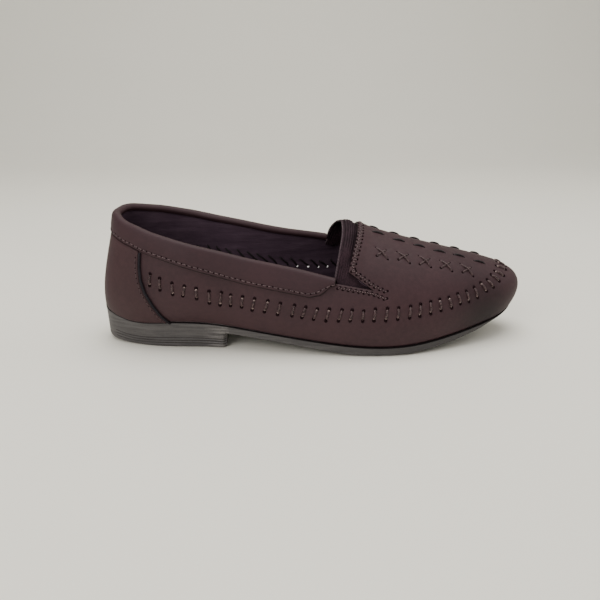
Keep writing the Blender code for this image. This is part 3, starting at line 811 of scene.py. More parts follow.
def crosses_and_dashes():
    arms = []
    dashes = []
    for k in range(CROSS_COUNT):
        x = CROSS_START[0] + CROSS_STEP[0] * k
        near_y = CROSS_START[1] + CROSS_STEP[1] * k
        for y in (near_y, 2 * CROSS_MIDDLE_Y - near_y):
            for lean in (CROSS_HALF[1], -CROSS_HALF[1]):
                start = LAST_SKIN.from_above(x - CROSS_HALF[0], y - lean)
                arms.append([start, LAST_SKIN.from_above(x + CROSS_HALF[0], y + lean)])
    for first, step, row in ((DASH_X, DASH_STEP_X, DASH_Y), (FAR_DASH_X, FAR_DASH_STEP_X, FAR_DASH_Y)):
        for k, y in enumerate(row):
            x = first + step * k
            dashes.append([LAST_SKIN.from_above(x - DASH_HALF, y), LAST_SKIN.from_above(x + DASH_HALF, y)])
    return np.array(arms), np.array(dashes)


CROSS_ARMS, DASHES = crosses_and_dashes()
print("%d cross arms and %d dashes" % (len(CROSS_ARMS), len(DASHES)))

# %% [markdown]
# Two zigzag seams hold the elastic: one follows the vamp's edge and turns down along each V, the
# other follows the quarters' edge below each V. A zigzag is walked along a middle line, with a needle
# hole left and right in turn.

# %% Zigzag seams
ZIGZAG_IN = 1.95     # middle of the seam from the leather's edge
ZIGZAG_HALF = 1.25
ZIGZAG_PITCH = 3.0
SEAM_FINE = 0.5      # point spacing while a seam's middle line is softened
SEAM_SOFT = 12       # rounds of softening
SEAM_START = 0.08    # share of a V's lower edge left free at its rear corner
SEAM_AHEAD = (0.004, 0.0015)   # share of the way round from each V to the seam's turn, outer and inner
TAIL_UPPER = (165.0, 37.3)
TAIL_LOWER = (165.0, 33.5)
TAIL_UPPER_INNER = (168.0, 46.5)
TAIL_LOWER_INNER = (167.5, 42.3)


def even(points, pitch):
    """The same line with its points an even pitch apart."""
    run = run_along(points)
    count = max(2, round(run[-1] / pitch))
    spots = np.linspace(0, run[-1], count + 1)
    return np.stack([np.interp(spots, run, points[:, axis]) for axis in range(3)], axis=1)


def softened(points):
    """Takes the corners off a line by averaging; the ends stay."""
    points = even(points, SEAM_FINE)
    for _ in range(SEAM_SOFT):
        points[1:-1] = 0.25 * points[:-2] + 0.5 * points[1:-1] + 0.25 * points[2:]
    return points


def beside(start, end, distance):
    """A straight line of the side view moved to its left by a distance."""
    way = np.subtract(end, start) / np.linalg.norm(np.subtract(end, start))
    shift = distance * np.array([-way[1], way[0]])
    return np.add(start, shift), np.add(end, shift)


def side_line(places, outer):
    """A line of the side view laid on the last."""
    line = []
    for start, end in zip(places[:-1], places[1:]):
        for share in np.linspace(0, 1, 25)[:-1]:
            x, z = np.add(start, share * np.subtract(end, start))
            line.append(LAST_SKIN.from_side(x, z, outer))
    return line


def vamp_seam():
    _, meet, apex = NOTCH_OUTER
    first, last = beside(meet, apex, ZIGZAG_IN)
    outer = side_line([TAIL_UPPER, last, first], True)
    t = np.linspace(MEET_OUTER + SEAM_AHEAD[0], MEET_INNER - SEAM_AHEAD[1], 200)
    v = step_v(t, first_v(t, behind_edge(VAMP_EDGE)), -ZIGZAG_IN)
    _, meet, apex = NOTCH_INNER
    first, last = beside(meet, apex, ZIGZAG_IN)
    inner = side_line([first, last, TAIL_UPPER_INNER], False)
    return softened(np.array(outer + list(last_point(t, v)) + inner))


def quarter_seam(notch, tail, outer):
    corner, _, apex = notch
    first, last = beside(corner, apex, -ZIGZAG_IN)
    first = first + SEAM_START * (last - first)
    return softened(np.array(side_line([first, last, tail], outer)))


def zigzag_holes(line):
    line = even(line, ZIGZAG_PITCH / 2)
    along = np.gradient(line, axis=0)
    holes = []
    for k, (point, way) in enumerate(zip(line, along)):
        place, normal = LAST_SKIN.near(point)
        across = np.cross(normal, way)
        across /= np.linalg.norm(across)
        holes.append(LAST_SKIN.near(place + across * ZIGZAG_HALF * (1 if k % 2 else -1))[0])
    return np.array(holes)


ZIGZAGS = [
    zigzag_holes(vamp_seam()),
    zigzag_holes(quarter_seam(NOTCH_OUTER, TAIL_LOWER, True)),
    zigzag_holes(quarter_seam(NOTCH_INNER, TAIL_LOWER_INNER, False)),
]
print("zigzag holes:", [len(holes) for holes in ZIGZAGS])

# %% [markdown]
# The upper is the main leather shell: quarters round the heel and sides, and a vamp over the toes.
# The two grids share the line across the toe, so they become one skin. Dents are pressed in at every
# needle hole, the free edges are skived down, and a Solidify modifier turns the skin into a wall with
# a lining on its inner face.

# %% Upper
CELL = 1.0           # size of the upper's faces
DENT_RADIUS = 1.15
DENTS = [(np.concatenate([WHIP_TOP, WHIP_LOW]), 0.5), (CROSS_ARMS.reshape(-1, 3), 0.36)]
DENTS += [(DASHES.reshape(-1, 3), 0.34)] + [(holes, 0.2) for holes in ZIGZAGS]
SKIVE = 0.55         # how much a free edge is thinned
SKIVE_RUN = 0.9
WHIP_PULL = 0.3      # the whip row draws the leather in by this much
WHIP_PULL_WIDTH = 4.5
FEATHER_TUCK = 0.6   # how far the leather curls in where it meets the sole
FEATHER_TUCK_RUN = 0.9
VAMP_FLARE = 1.0     # how far the elastic lifts the vamp's edge
VAMP_FLARE_RUN = 4.0
FLARE_FADE = 0.03    # share of the way round over which the lift fades at each side
TOE_FILL = 0.8       # the toe puff rounds the toe by this much
TOE_FILL_UP = 18.0   # up the profile to the middle of the puff
TOE_FILL_RUN = 16.0
TOE_FILL_WIDTH = 0.06  # as a share of the way round
NOTCH_REACH = 0.23   # share of the way round from the toe within which the Vs lie
QUARTER_SHARES = np.concatenate([np.linspace(0, 0.96, 44), [0.975, 0.988, 1.0]])
VAMP_SHARES = np.concatenate([np.linspace(0, 0.97, 78), [0.98, 0.988, 0.994, 1.0]])


def dented(points):
    """Depth of the needle holes' dents at each point."""
    flat = points.reshape(-1, 3)
    depth = np.zeros(len(flat))
    for holes, most in DENTS:
        for hole in holes:
            close = np.flatnonzero(np.abs(flat - hole).max(axis=1) < 3 * DENT_RADIUS)
            away = np.linalg.norm(flat[close] - hole, axis=1)
            depth[close] = np.maximum(depth[close], most * np.exp(-(away / DENT_RADIUS) ** 2))
    return depth.reshape(points.shape[:-1])


def pulled(t, up):
    """How far the whip row draws the leather in, by height up the profile."""
    height, _ = whip_row(t)
    inside = (t > WHIP_ROW[0][1] - 0.01) & (t < WHIP_INNER[-1][0] + 0.01)
    return WHIP_PULL * inside[:, None] * np.exp(-((up - height[:, None]) / WHIP_PULL_WIDTH) ** 2)


def filled(t, up):
    """How far the toe puff rounds the leather out."""
    wide = np.exp(-(((t - TOE_T) / TOE_FILL_WIDTH) ** 2))
    return TOE_FILL * wide[:, None] * np.exp(-(((up - TOE_FILL_UP) / TOE_FILL_RUN) ** 2))


def leather_rows(t, low, high, shares, skived, flared):
    v = low[:, None] + (high - low)[:, None] * shares[None, :]
    length = profile_length(t, low, high)
    points = last_point(t[:, None], v)
    edge = (1 - shares[None, :]) * length[:, None]
    up = profile_length(t, 0 * low, low)[:, None] + shares[None, :] * length[:, None]
    drop = dented(points) + skived[:, None] * SKIVE * np.exp(-(edge / SKIVE_RUN) ** 2) + pulled(t, up)
    drop += FEATHER_TUCK * np.exp(-(up / FEATHER_TUCK_RUN) ** 2)
    drop -= flared[:, None] * VAMP_FLARE * np.exp(-(edge / VAMP_FLARE_RUN) ** 2) + filled(t, up)
    return points - last_normal(t[:, None], v) * drop[..., None]


def upper_ring():
    ends = [CORNER_OUTER, MEET_OUTER, APEX_OUTER, TOE_T, APEX_INNER, MEET_INNER, CORNER_INNER, 1.0]
    parts = []
    for start, end in zip([0.0] + ends[:-1], ends):
        parts.append((end, cells(start, end, CELL)))
    return steps(0.0, *parts), parts


def make_upper():
    ring, parts = upper_ring()
    in_notch = (np.abs(ring - TOE_T) < NOTCH_REACH) & (
        ((ring > CORNER_OUTER) & (ring <= APEX_OUTER)) | ((ring >= APEX_INNER) & (ring < CORNER_INNER))
    )
    mesh = bmesh.new()
    top = quarter_top_v(ring)
    add_grid(mesh, leather_rows(ring, 0 * ring, top, QUARTER_SHARES, in_notch.astype(float), 0 * ring))
    first = parts[0][1] + parts[1][1]
    last = len(ring) - parts[-1][1] - parts[-2][1]
    vamp = ring[first:last]
    low, high = vamp_bottom_v(vamp), first_v(vamp, behind_edge(VAMP_EDGE))
    low[0], low[-1] = high[0], high[-1]
    middle = np.clip(np.minimum(vamp - MEET_OUTER, MEET_INNER - vamp) / FLARE_FADE, 0, 1)
    add_grid(mesh, leather_rows(vamp, low, high, VAMP_SHARES, np.ones(len(vamp)), middle))
    bmesh.ops.remove_doubles(mesh, verts=mesh.verts, dist=WELD)
    skin = Surface(mesh)
    finishes = (UPPER_LEATHER, LINING, CUT_EDGE_AND_SHADE_LEATHER)
    upper = add_piece("upper_shell", mesh, "upper_leather", *finishes, node="upper")
    thicken(upper, WALL, inner=1, rim=2)
    return skin


UPPER_SKIN = make_upper()

# %% [markdown]
# The collar band is a strip of soft leather folded over the topline: a deep leaf outside, a roll on
# the edge, a short lip inside. Its cross-section is drawn as one closed loop, so it is a solid strip
# that lies close to the upper without touching it. The outer leaf is a little padded, and a shallow
# groove takes the seam above its lower edge.

# %% Collar band
BAND_CLEAR = 0.06
BAND_LIFT = 1.8      # outside of the band over the upper
BAND_LINING = 0.9    # depth of the lip inside
LINING_THICK = 1.0
ROLL_LIFT = 0.4
BAND_END = 0.0004    # share of the way round that the band stops short of each V
BAND_SEAM_UP = 1.7   # seam above the lower edge
LEAF_FULL = 11.0     # leaf depth at which the rows below are at their full spacing
# height above the lower edge, outside of the leaf over the upper
BAND_LEAF = [
    (-0.45, 0.10),
    (-0.40, 0.42),
    (-0.02, 0.50),
    (0.0, 0.86),
    (0.14, 1.12),
    (0.4, 1.26),
    (0.8, 1.32),
    (1.3, 1.30),
    (1.7, 1.22),
    (2.1, 1.34),
    (3.2, 1.50),
    (4.6, 1.64),
    (6.2, 1.74),
]
PAINTED_SHADOW_ROWS = 4        # rows of the folded edge underneath, given the dark finish as painted shadow under the band
LEAF_TOP = (0.72, 0.86, 1.0)   # further rows as shares of the leaf's depth
ROLL_ANGLES = range(15, 166, 15)
# lip inside: share of its depth, how much thicker it is there than LINING_THICK
BAND_LIP = [(0.0, 0.3), (0.32, 0.1), (0.64, 0.0), (0.88, -0.1), (1.0, -0.55), (1.0, -0.9)]
UNDER_LIP = (1.0, 0.5, 0.0)    # rows of the side that faces the upper, as shares of lip and leaf
UNDER_ANGLES = (150, 110, 70, 30)
UNDER_LEAF = (1.0, 0.6, 0.3, 0.0)
BAND_CELL = 1.2      # spacing of the band's rows along the topline
BAND_FINE = 0.04     # share of the way round at each end where they are finer
BAND_FINE_CELLS = 44


def band_run():
    corner = CORNER_INNER - 1
    return steps(
        corner + BAND_END,
        (corner + BAND_FINE, BAND_FINE_CELLS),
        (0.0, cells(corner + BAND_FINE, 0.0, BAND_CELL)),
        (CORNER_OUTER - BAND_FINE, cells(0.0, CORNER_OUTER - BAND_FINE, BAND_CELL)),
        (CORNER_OUTER - BAND_END, BAND_FINE_CELLS),
    )


def band_frame(t):
    """The topline with its outward normal and the direction square to both."""
    edge = first_v(t, above_collar)
    line = last_point(t, edge)
    normal = last_normal(t, edge)
    up = np.cross(normal, np.gradient(line, axis=0))
    return edge, line, normal, up / np.linalg.norm(up, axis=-1, keepdims=True)


def rolled(centre, normal, up, radius, angles):
    """Rows of the roll over the topline, by angle in degrees from the outward normal."""
    turns = [math.radians(angle) for angle in angles]
    return [centre + radius * (math.cos(turn) * normal + math.sin(turn) * up) for turn in turns]


def make_band():
    t = band_run()
    edge, line, normal, up = band_frame(t)
    depth = band_depth(t, edge)
    squeeze = np.minimum(depth / LEAF_FULL, 1.0)
    centre = line - normal * WALL / 2 + up * ROLL_LIFT
    rows = []
    for height, lift in BAND_LEAF:
        rows.append(lifted(t, step_v(t, edge, height * squeeze - depth), lift))
    for share in LEAF_TOP:
        rows.append(lifted(t, step_v(t, edge, (share - 1) * depth), BAND_LIFT))
    seam_row = rows[[height for height, _ in BAND_LEAF].index(BAND_SEAM_UP)]
    rows += rolled(centre, normal, up, WALL / 2 + BAND_LIFT, ROLL_ANGLES)
    inside = -WALL - BAND_CLEAR
    for share, more in BAND_LIP:
        rows.append(lifted(t, step_v(t, edge, -share * BAND_LINING), inside - LINING_THICK - more))
    for share in UNDER_LIP:
        rows.append(lifted(t, step_v(t, edge, -share * BAND_LINING), inside))
    rows += rolled(centre, normal, up, WALL / 2 + BAND_CLEAR, UNDER_ANGLES)
    for share in UNDER_LEAF:
        rows.append(lifted(t, step_v(t, edge, (share - 1) * depth), BAND_CLEAR))
    rows.append(rows[0])
    mesh = bmesh.new()
    # the rows under the band's lower edge carry painted shadow
    add_grid(mesh, np.stack(rows[:PAINTED_SHADOW_ROWS], axis=1))
    for face in mesh.faces:
        face.material_index = 1
    add_grid(mesh, np.stack(rows[PAINTED_SHADOW_ROWS - 1 :], axis=1))
    seal(mesh, caps=True)
    skin = Surface(mesh)
    add_piece("collar_strip", mesh, "band_leather", BAND_LEATHER, CUT_EDGE_AND_SHADE_LEATHER, node="collar_band")
    return seam_row, skin


BAND_SEAM, BAND_SKIN = make_band()

# %% [markdown]
# The heel counter is a second layer of leather that stiffens the back. A dark corded piping is sewn
# into its front edge at both sides. The counter runs from the sole to just under the band.

# %% Heel counter and piping
COUNTER_LIFT = 1.5
COUNTER_EASE = 0.7   # its top edge lies closer by this much
COUNTER_THICK = 1.35
COUNTER_TUCK = 1.0   # how far its lower edge curls in
COUNTER_TUCK_RUN = 1.0
COUNTER_LOW = 0.3    # lower edge above the feather
COUNTER_UNDER = -0.6  # the top edge reaches this far under the band
PIPING_RADIUS = 0.8
PIPING_SINK = 0.05   # the cord is pressed into the upper by this much
PIPING_SEAM = 0.15
PIPING_TOP = 0.99    # share of the counter's height at which the cord ends
COUNTER_SEAM = 1.2   # seam behind the piping
COUNTER_GROOVE = 0.16  # depth that the seam presses in
COUNTER_ROUND = 0.3  # how much the front edge is rounded off
COUNTER_EDGE_RUN = 0.5
COUNTER_SPAN = (0.02, 0.2)   # the front edge lies between these shares of the way round
# front edge of the counter in side view: z, x
PIPING_LINE = [
    (14.0, 42.3),
    (20.4, 37.1),
    (27.3, 32.9),
    (35.4, 28.7),
    (42.0, 26.8),
    (49.7, 26.4),
    (58.0, 27.0),
]


def counter_edge(shares, outer, shift):
    """t and v of the front edge at shares of the height between sole and band."""
    z, x = np.array(PIPING_LINE).T
    t = np.linspace(*COUNTER_SPAN, 601)
    t = t if outer else 1 - t
    edge = first_v(t, above_collar)
    low = step_v(t, 0.0, COUNTER_LOW)
    high = step_v(t, edge, COUNTER_UNDER - band_depth(t, edge))
    found = []
    for share in shares:
        v = low + (high - low) * share
        points = last_point(t, v)
        ahead = points[:, 0] - np.interp(points[:, 2], z, x) - shift
        k = np.argmax(ahead > 0)
        mix = -ahead[k - 1] / (ahead[k] - ahead[k - 1])
        found.append((t[k - 1] + mix * (t[k] - t[k - 1]), v[k - 1] + mix * (v[k] - v[k - 1])))
    return np.array(found).T


def make_counter():
    shares = np.linspace(0, 1, 49)
    back = -(PIPING_RADIUS + PIPING_SEAM)
    outer_t, _ = counter_edge(shares, True, back)
    inner_t, _ = counter_edge(shares, False, back)
    across = np.linspace(0, 1, 121)
    t = (inner_t - 1)[None, :] + (outer_t - inner_t + 1)[None, :] * across[:, None]
    flat = t.ravel()
    low = step_v(flat, 0.0, COUNTER_LOW).reshape(t.shape)
    edge = first_v(flat, above_collar)
    high = step_v(flat, edge, COUNTER_UNDER - band_depth(flat, edge)).reshape(t.shape)
    v = low + (high - low) * shares[None, :]
    from_front = np.minimum(across, 1 - across)[:, None] * (outer_t - inner_t + 1)[None, :] * LAST.total
    groove = COUNTER_GROOVE * np.exp(-((from_front - COUNTER_SEAM) / COUNTER_EDGE_RUN) ** 2)
    rounded = COUNTER_ROUND * np.exp(-(from_front / COUNTER_EDGE_RUN) ** 2)
    above = profile_length(flat, low.ravel(), v.ravel()).reshape(t.shape)
    tuck = COUNTER_TUCK * np.exp(-((above / COUNTER_TUCK_RUN) ** 2))
    ease = COUNTER_EASE * shares[None, :] ** 2
    mesh = bmesh.new()
    add_grid(mesh, lifted(t, v, COUNTER_LIFT - ease - groove - rounded - tuck))
    skin = Surface(mesh)
    piece = add_piece("heel_stiffener", mesh, "counter_leather", COUNTER_LEATHER, node="heel_counter")
    thicken(piece, COUNTER_THICK - COUNTER_TUCK)
    return skin


def make_piping(name, node, outer):
    t, v = counter_edge(np.linspace(0.0, PIPING_TOP, 60), outer, 0.0)
    mesh = bmesh.new()
    add_tube(mesh, lifted(t, v, PIPING_RADIUS - PIPING_SINK), PIPING_RADIUS, 12)
    add_piece(name, mesh, "piping", PIPING, node=node)


COUNTER_SKIN = make_counter()
make_piping("piping_cord_outer", "piping_lateral", True)
make_piping("piping_cord_inner", "piping_medial", False)

# %% [markdown]
# The elastic spans the throat under the vamp's edge and fills both Vs, so the shoe opens when it is
# pulled on. Woven elastic has raised ribs along its edges' direction: they are made as real ridges,
# because they catch the light, and the grooves between them carry painted shade. The rear edge is
# finished with a rounded selvage.

# %% Throat elastic
ELASTIC_THICK = 0.9
ELASTIC_DROP = 0.12  # below the inside of the leather
ELASTIC_UNDERLAP = 5.0
ELASTIC_FADE = 0.22
ELASTIC_TUCK = 0.008  # share of the way round that each end runs on under the band
TUCK_DROP = 1.9      # how much deeper the tucked ends lie
TUCK_FALL = 4.0      # and how far their rear edge slopes down
RIB_PITCH = 1.5
RIB_HEIGHT = 0.3
GROOVE_PART = 0.45   # a rib's slope below this share of its height carries painted shade in the groove
ELASTIC_BULGE = 1.9  # how far the stretched part swells between its edge and the vamp
SELVAGE_RADIUS = 0.6
SELVAGE_IN = 0.6     # share of its radius that it lies ahead of the rear edge
SELVAGE_DROP = 0.3


def elastic_low_v(t, edge):
    """Hidden lower edge: below each V's lower edge, then following the vamp's edge across the foot."""
    low = []
    for place, top in zip(t, edge):
        _, _, apex = notch_of(place)
        here = np.array([place])
        if abs(place - TOE_T) >= abs(apex - TOE_T):
            low.append(step_v(here, quarter_top_v(here), -ELASTIC_UNDERLAP)[0])
            continue
        tip = np.array([apex])
        depth = profile_length(tip, quarter_top_v(tip), first_v(tip, behind_edge(VAMP_EDGE)))[0]
        share = abs(place - apex) / abs(TOE_T - apex) / ELASTIC_FADE
        ease = 0.5 + 0.5 * math.cos(math.pi * min(share, 1.0))
        low.append(step_v(here, top, -(ELASTIC_UNDERLAP + depth * ease))[0])
    return np.array(low)


def make_elastic():
    t = steps(
        CORNER_OUTER - ELASTIC_TUCK,
        (CORNER_OUTER, 6),
        (APEX_OUTER, 24),
        (TOE_T, 50),
        (APEX_INNER, 50),
        (CORNER_INNER, 24),
        (CORNER_INNER + ELASTIC_TUCK, 6),
    )
    rear = first_v(t, behind_edge(THROAT_EDGE))
    tucked = np.maximum(CORNER_OUTER - t, t - CORNER_INNER) / ELASTIC_TUCK
    under = tucked > 0
    rear[under] = step_v(t[under], first_v(t[under], above_collar), -TUCK_FALL * tucked[under])
    drop = ELASTIC_DROP + TUCK_DROP * np.clip(1 + 2 * tucked, 0, 1)
    edge = np.maximum(first_v(t, behind_edge(VAMP_EDGE)), 0.0)
    low = elastic_low_v(t, edge)
    shares = np.linspace(0, 1, 121)
    v = low[:, None] + (rear - low)[:, None] * shares[None, :]
    from_rear = profile_length(t, low, rear)[:, None] * (1 - shares[None, :])
    rib = RIB_HEIGHT * np.abs(np.sin(math.pi * from_rear / RIB_PITCH))
    shown = np.maximum(profile_length(t, edge, rear), 1.0)[:, None]
    middle = np.clip(np.minimum(t - MEET_OUTER, MEET_INNER - t) / FLARE_FADE, 0, 1)[:, None]
    swell = ELASTIC_BULGE * middle * np.sin(math.pi * np.clip(from_rear / shown, 0, 1))
    mesh = bmesh.new()
    skin = lifted(t[:, None], v, rib + swell - WALL - RIB_HEIGHT - drop[:, None])
    add_grid(mesh, skin, second=rib < GROOVE_PART * RIB_HEIGHT)
    finishes = (WEBBING, WEBBING_PAINTED_SHADE)
    piece = add_piece("throat_webbing", mesh, "elastic_webbing", *finishes, node="throat_elastic")
    thicken(piece, ELASTIC_THICK)
    mesh = bmesh.new()
    inset = step_v(t, rear, -SELVAGE_RADIUS * SELVAGE_IN)
    add_tube(mesh, lifted(t, inset, -WALL - drop - SELVAGE_DROP), SELVAGE_RADIUS, 10)
    add_piece("throat_selvage", mesh, "elastic_webbing", SELVAGE, node="throat_elastic")


make_elastic()

# %% [markdown]
# The sole and heel are one moulding. Its side wall has a small lip where it meets the leather, fine
# moulded grooves low on the heel, and a rounded corner at the heel's front. Stations on the outer and
# inner side share their place along the shoe, so the underside is a plain grid between them.

# %% Outsole
RIM = 0.9
RIM_TOE = 0.3        # the rim is trimmed closer at the toe
TOE_TRIM = (225.0, 246.0)   # where that trimming begins and ends
RIM_BACK = 0.7       # and stands out further at the heel's back
RIM_BACK_RUN = 8.0
HEEL_SPRING = 2.2    # rise of the heel's lower edge at its back
HEEL_SPRING_RUN = 24.0
SOLE_GAP = 0.12
JOINT_RADIUS = 0.45
JOINT_IN = 0.4       # the joint's bead behind the sole's rim
JOINT_UP = 0.2
BREAST_X = 72.5
BREAST_RUN = 1.2
BREAST_ROUND = 2.2
HEEL_TAPER = 0.8
EDGE_ROUND = 0.9
HEEL_EDGE_ROUND = 0.5
EDGE_ROUND_WIDTH = 5.0
EDGE_ROUND_MOST = 0.3  # of the sole's breadth
EDGE_PARTS = (0.0, 0.25, 0.6, 1.0)   # rows across the rounded edge, as shares of its width
EDGE_FALL = np.array([0.0, 0.6, 0.92, 1.0, 1.0, 1.0, 0.92, 0.6, 0.0])
SEAT_SHARES = [0.0, 0.25, 0.5, 0.75, 1.0]
SOLE_STATIONS = 230
BREAST_FROM = 0.36   # share of the side's height below which the heel's front corner is rounded
BREAST_FADE = 0.12
SIDE_DRAW = 0.12     # the side lies this far inside the lip
GROOVES = (0.64, 0.75, 0.86)
GROOVE_HALF = 0.03
GROOVE_DEPTH = 0.38
GROOVE_FADE_X = 6.0
# underside along the middle, ahead of the heel: x, z
UNDERSIDE = [
    (73.7, 9.0),
    (91.0, 7.5),
    (111.0, 5.0),
    (127.0, 2.6),
    (140.0, 0.8),
    (150.0, 0.0),
    (180.0, 0.0),
    (194.0, 1.9),
    (208.0, 4.6),
    (222.0, 8.2),
    (230.0, 11.2),
    (238.0, 13.6),
    (250.6, 17.0),
]


def outline(t, out):
    """The feather line moved outwards in plan, keeping its height."""
    t = np.asarray(t, float)
    along = LAST.at(t + SMALL)[..., :2] - LAST.at(t - SMALL)[..., :2]
    along /= np.linalg.norm(along, axis=-1, keepdims=True)
    away = np.stack([along[..., 1], -along[..., 0], np.zeros(along.shape[:-1])], axis=-1)
    return LAST.at(t)[..., :3] + away * np.broadcast_to(out, t.shape)[..., None]


def paired_stations(count, extra=()):
    """t on the outer and the inner side for stations that share their x, from heel to toe."""
    fine = np.linspace(0, TOE_T, 1601)
    fine_x = LAST.at(fine)[:, 0]
    more = np.interp(np.array(extra), fine_x, fine) if len(extra) else np.array([])
    apart = 0.25 * TOE_T / count
    keep = [a for a in np.linspace(0, TOE_T, count + 1) if all(abs(a - b) > apart for b in more)]
    outer = np.sort(np.concatenate([keep, more]))
    other = np.linspace(1, TOE_T, 1601)
    inner = np.interp(np.interp(outer, fine, fine_x), LAST.at(other)[:, 0], other)
    inner[0], inner[-1] = 1.0, TOE_T
    return outer, inner


def sole_ring(count, extra=()):
    """t once round the sole through paired stations, and how many of them each side has."""
    outer, inner = paired_stations(count, extra)
    return np.concatenate([outer, inner[::-1][1:]]), len(outer)


def across_sole(ring, count, shares):
    """Rows from the outer side of a ring to its inner side."""
    left, right = ring[:count], ring[::-1][:count]
    return left[:, None] + (right - left)[:, None] * np.asarray(shares)[..., None]


def side_rows():
    """Rows of the sole's side: share of its height, draw-in by the lip, depth of a groove."""
    rows = [(0.0, 0.45, 0.0), (0.012, 0.16, 0.0), (0.03, 0.02, 0.0), (0.06, 0.0, 0.0), (0.1, 0.08, 0.0)]
    rows += [(share, SIDE_DRAW, 0.0) for share in (0.18, 0.28, 0.38, 0.48, 0.56)]
    for groove in GROOVES:
        for part, depth in ((-1.0, 0.0), (-0.5, 0.8), (0.0, 1.0), (0.5, 0.8), (1.0, 0.0)):
            rows.append((groove + part * GROOVE_HALF, SIDE_DRAW, depth))
    return rows + [(0.92, 0.1, 0.0), (0.965, 0.16, 0.0), (1.0, 0.4, 0.0)]


def rim_of(x):
    """How far the sole stands out past the upper's lower edge, by place along the shoe."""
    trim = np.clip((x - TOE_TRIM[0]) / (TOE_TRIM[1] - TOE_TRIM[0]), 0, 1)
    return RIM + (RIM_TOE - RIM) * trim + RIM_BACK * np.exp(-((x / RIM_BACK_RUN) ** 2))


def make_outsole():
    extra = list(np.linspace(BREAST_X - BREAST_ROUND, BREAST_X, 8)) + [BREAST_X + BREAST_RUN]
    ring_t, count = sole_ring(SOLE_STATIONS, extra)
    x = LAST.at(ring_t)[:, 0]
    heel = x < BREAST_X + BREAST_RUN / 2
    below_x, below_z = np.array(UNDERSIDE).T
    spring = HEEL_SPRING * np.clip(1 - x / HEEL_SPRING_RUN, 0, 1) ** 2
    floor = np.where(heel, spring, np.interp(x, below_x, below_z))
    rim = rim_of(x)
    rise = np.where(heel, HEEL_EDGE_ROUND, EDGE_ROUND)
    grooves = heel * np.clip((x - GROOVE_FADE_X) / (BREAST_X - GROOVE_FADE_X), 0, 1) * GROOVE_DEPTH
    top = LAST.at(ring_t)[:, 2] - SOLE_GAP
    past = np.clip(x - (BREAST_X - BREAST_ROUND), 0, BREAST_ROUND) * heel
    corner = BREAST_ROUND - np.sqrt(BREAST_ROUND**2 - past**2)
    rows = []
    for share, lip, groove in side_rows():
        rounded = corner * np.clip((share - BREAST_FROM) / BREAST_FADE, 0, 1)
        ring = outline(ring_t, rim - heel * HEEL_TAPER * share - lip - groove * grooves - rounded)
        ring[:, 2] = top - (top - floor - rise) * share
        rows.append(ring)
    wall = np.stack(rows, axis=1)
    mesh = bmesh.new()
    in_groove = np.array([groove > 0.5 for _, _, groove in side_rows()])
    # faces inside the heel's grooves carry painted shade
    add_grid(mesh, wall, in_groove[None, :] & (grooves > 0)[:, None])
    seat = np.broadcast_to(SEAT_SHARES, (count, len(SEAT_SHARES)))
    add_grid(mesh, across_sole(wall[:, 0], count, seat))
    edge = wall[:, -1]
    breadth = np.linalg.norm(edge[:count] - edge[::-1][:count], axis=1)
    inset = np.minimum(EDGE_ROUND_WIDTH / np.maximum(breadth, WALL), EDGE_ROUND_MOST)
    near = [part * inset for part in EDGE_PARTS]
    far = [1 - part * inset for part in EDGE_PARTS[::-1]]
    bottom = across_sole(edge, count, np.stack(near + [0 * inset + 0.5] + far, axis=1))
    drop = rise[:count] * np.minimum(breadth / EDGE_ROUND_WIDTH, 1)
    bottom[..., 2] -= drop[:, None] * EDGE_FALL[None, :]
    add_grid(mesh, bottom)
    seal(mesh)
    add_piece("sole_moulding", mesh, "sole_rubber", RUBBER, RUBBER_GROOVE_SHADE, node="outsole")


def make_joint():
    """A near-black bead where the leather meets the sole: painted shadow in the gap between them."""
    t = np.linspace(0, 1, 601)
    line = outline(t, rim_of(LAST.at(t)[:, 0]) - JOINT_IN)
    line[:, 2] += JOINT_UP
    mesh = bmesh.new()
    add_tube(mesh, line, JOINT_RADIUS, 8)
    add_piece("sole_shadow_bead", mesh, "sole_rubber", SHADOW_BEAD)


make_outsole()
make_joint()

# %% [markdown]
# Inside lies the insole with its sock: a thin board cupped slightly at its edge.

# %% Insole
INSOLE_THICK = 2.5
INSOLE_INSET = 2.7
INSOLE_CUP = 0.8
INSOLE_STATIONS = 120
INSOLE_ROWS = 17


def make_insole():
    ring_t, count = sole_ring(INSOLE_STATIONS)
    low = outline(ring_t, -INSOLE_INSET)
    rows = [low]
    for height, inward in ((0.8, 0.0), (1.0, 0.12)):
        ring = outline(ring_t, -INSOLE_INSET - inward)
        ring[:, 2] += INSOLE_THICK * height
        rows.append(ring)
    mesh = bmesh.new()
    add_grid(mesh, np.stack(rows, axis=1))
    shares = np.broadcast_to(np.linspace(0, 1, INSOLE_ROWS), (count, INSOLE_ROWS))
    top = across_sole(rows[-1], count, shares)
    top[..., 2] -= INSOLE_CUP * (1 - (2 * shares - 1) ** 4)
    add_grid(mesh, top)
    add_grid(mesh, across_sole(low, count, shares))
    seal(mesh)
    add_piece("insole_board", mesh, "sock_lining", SOCK, node="insole")


make_insole()

# %% [markdown]
# Thread is laid on the finished leather. One stitch is a short tube that rises out of one needle
# hole and dives into the next, and each hole is a small dark plug of painted shade set into its dent.
# Stitches of a kind share one mesh. Hand sewing is never quite even, so a seeded random number moves each a
# little.

# %% Stitch helpers
random.seed(7)
STITCH_SHARES = np.array([0.0, 0.05, 0.16, 0.34, 0.5, 0.66, 0.84, 0.95, 1.0])
STITCH_RISE = np.array([-1.0, -0.25, 0.62, 0.95, 1.0, 0.95, 0.62, -0.25, -1.0])
DIVE = 0.25          # how far a stitch's ends lie below the leather
CROSSING = 0.16      # share of a stitch's length over which it climbs over another
HOLE_DEPTH = 0.4
HOLE_TAPER = 0.7
HOLE_SIDES = 10


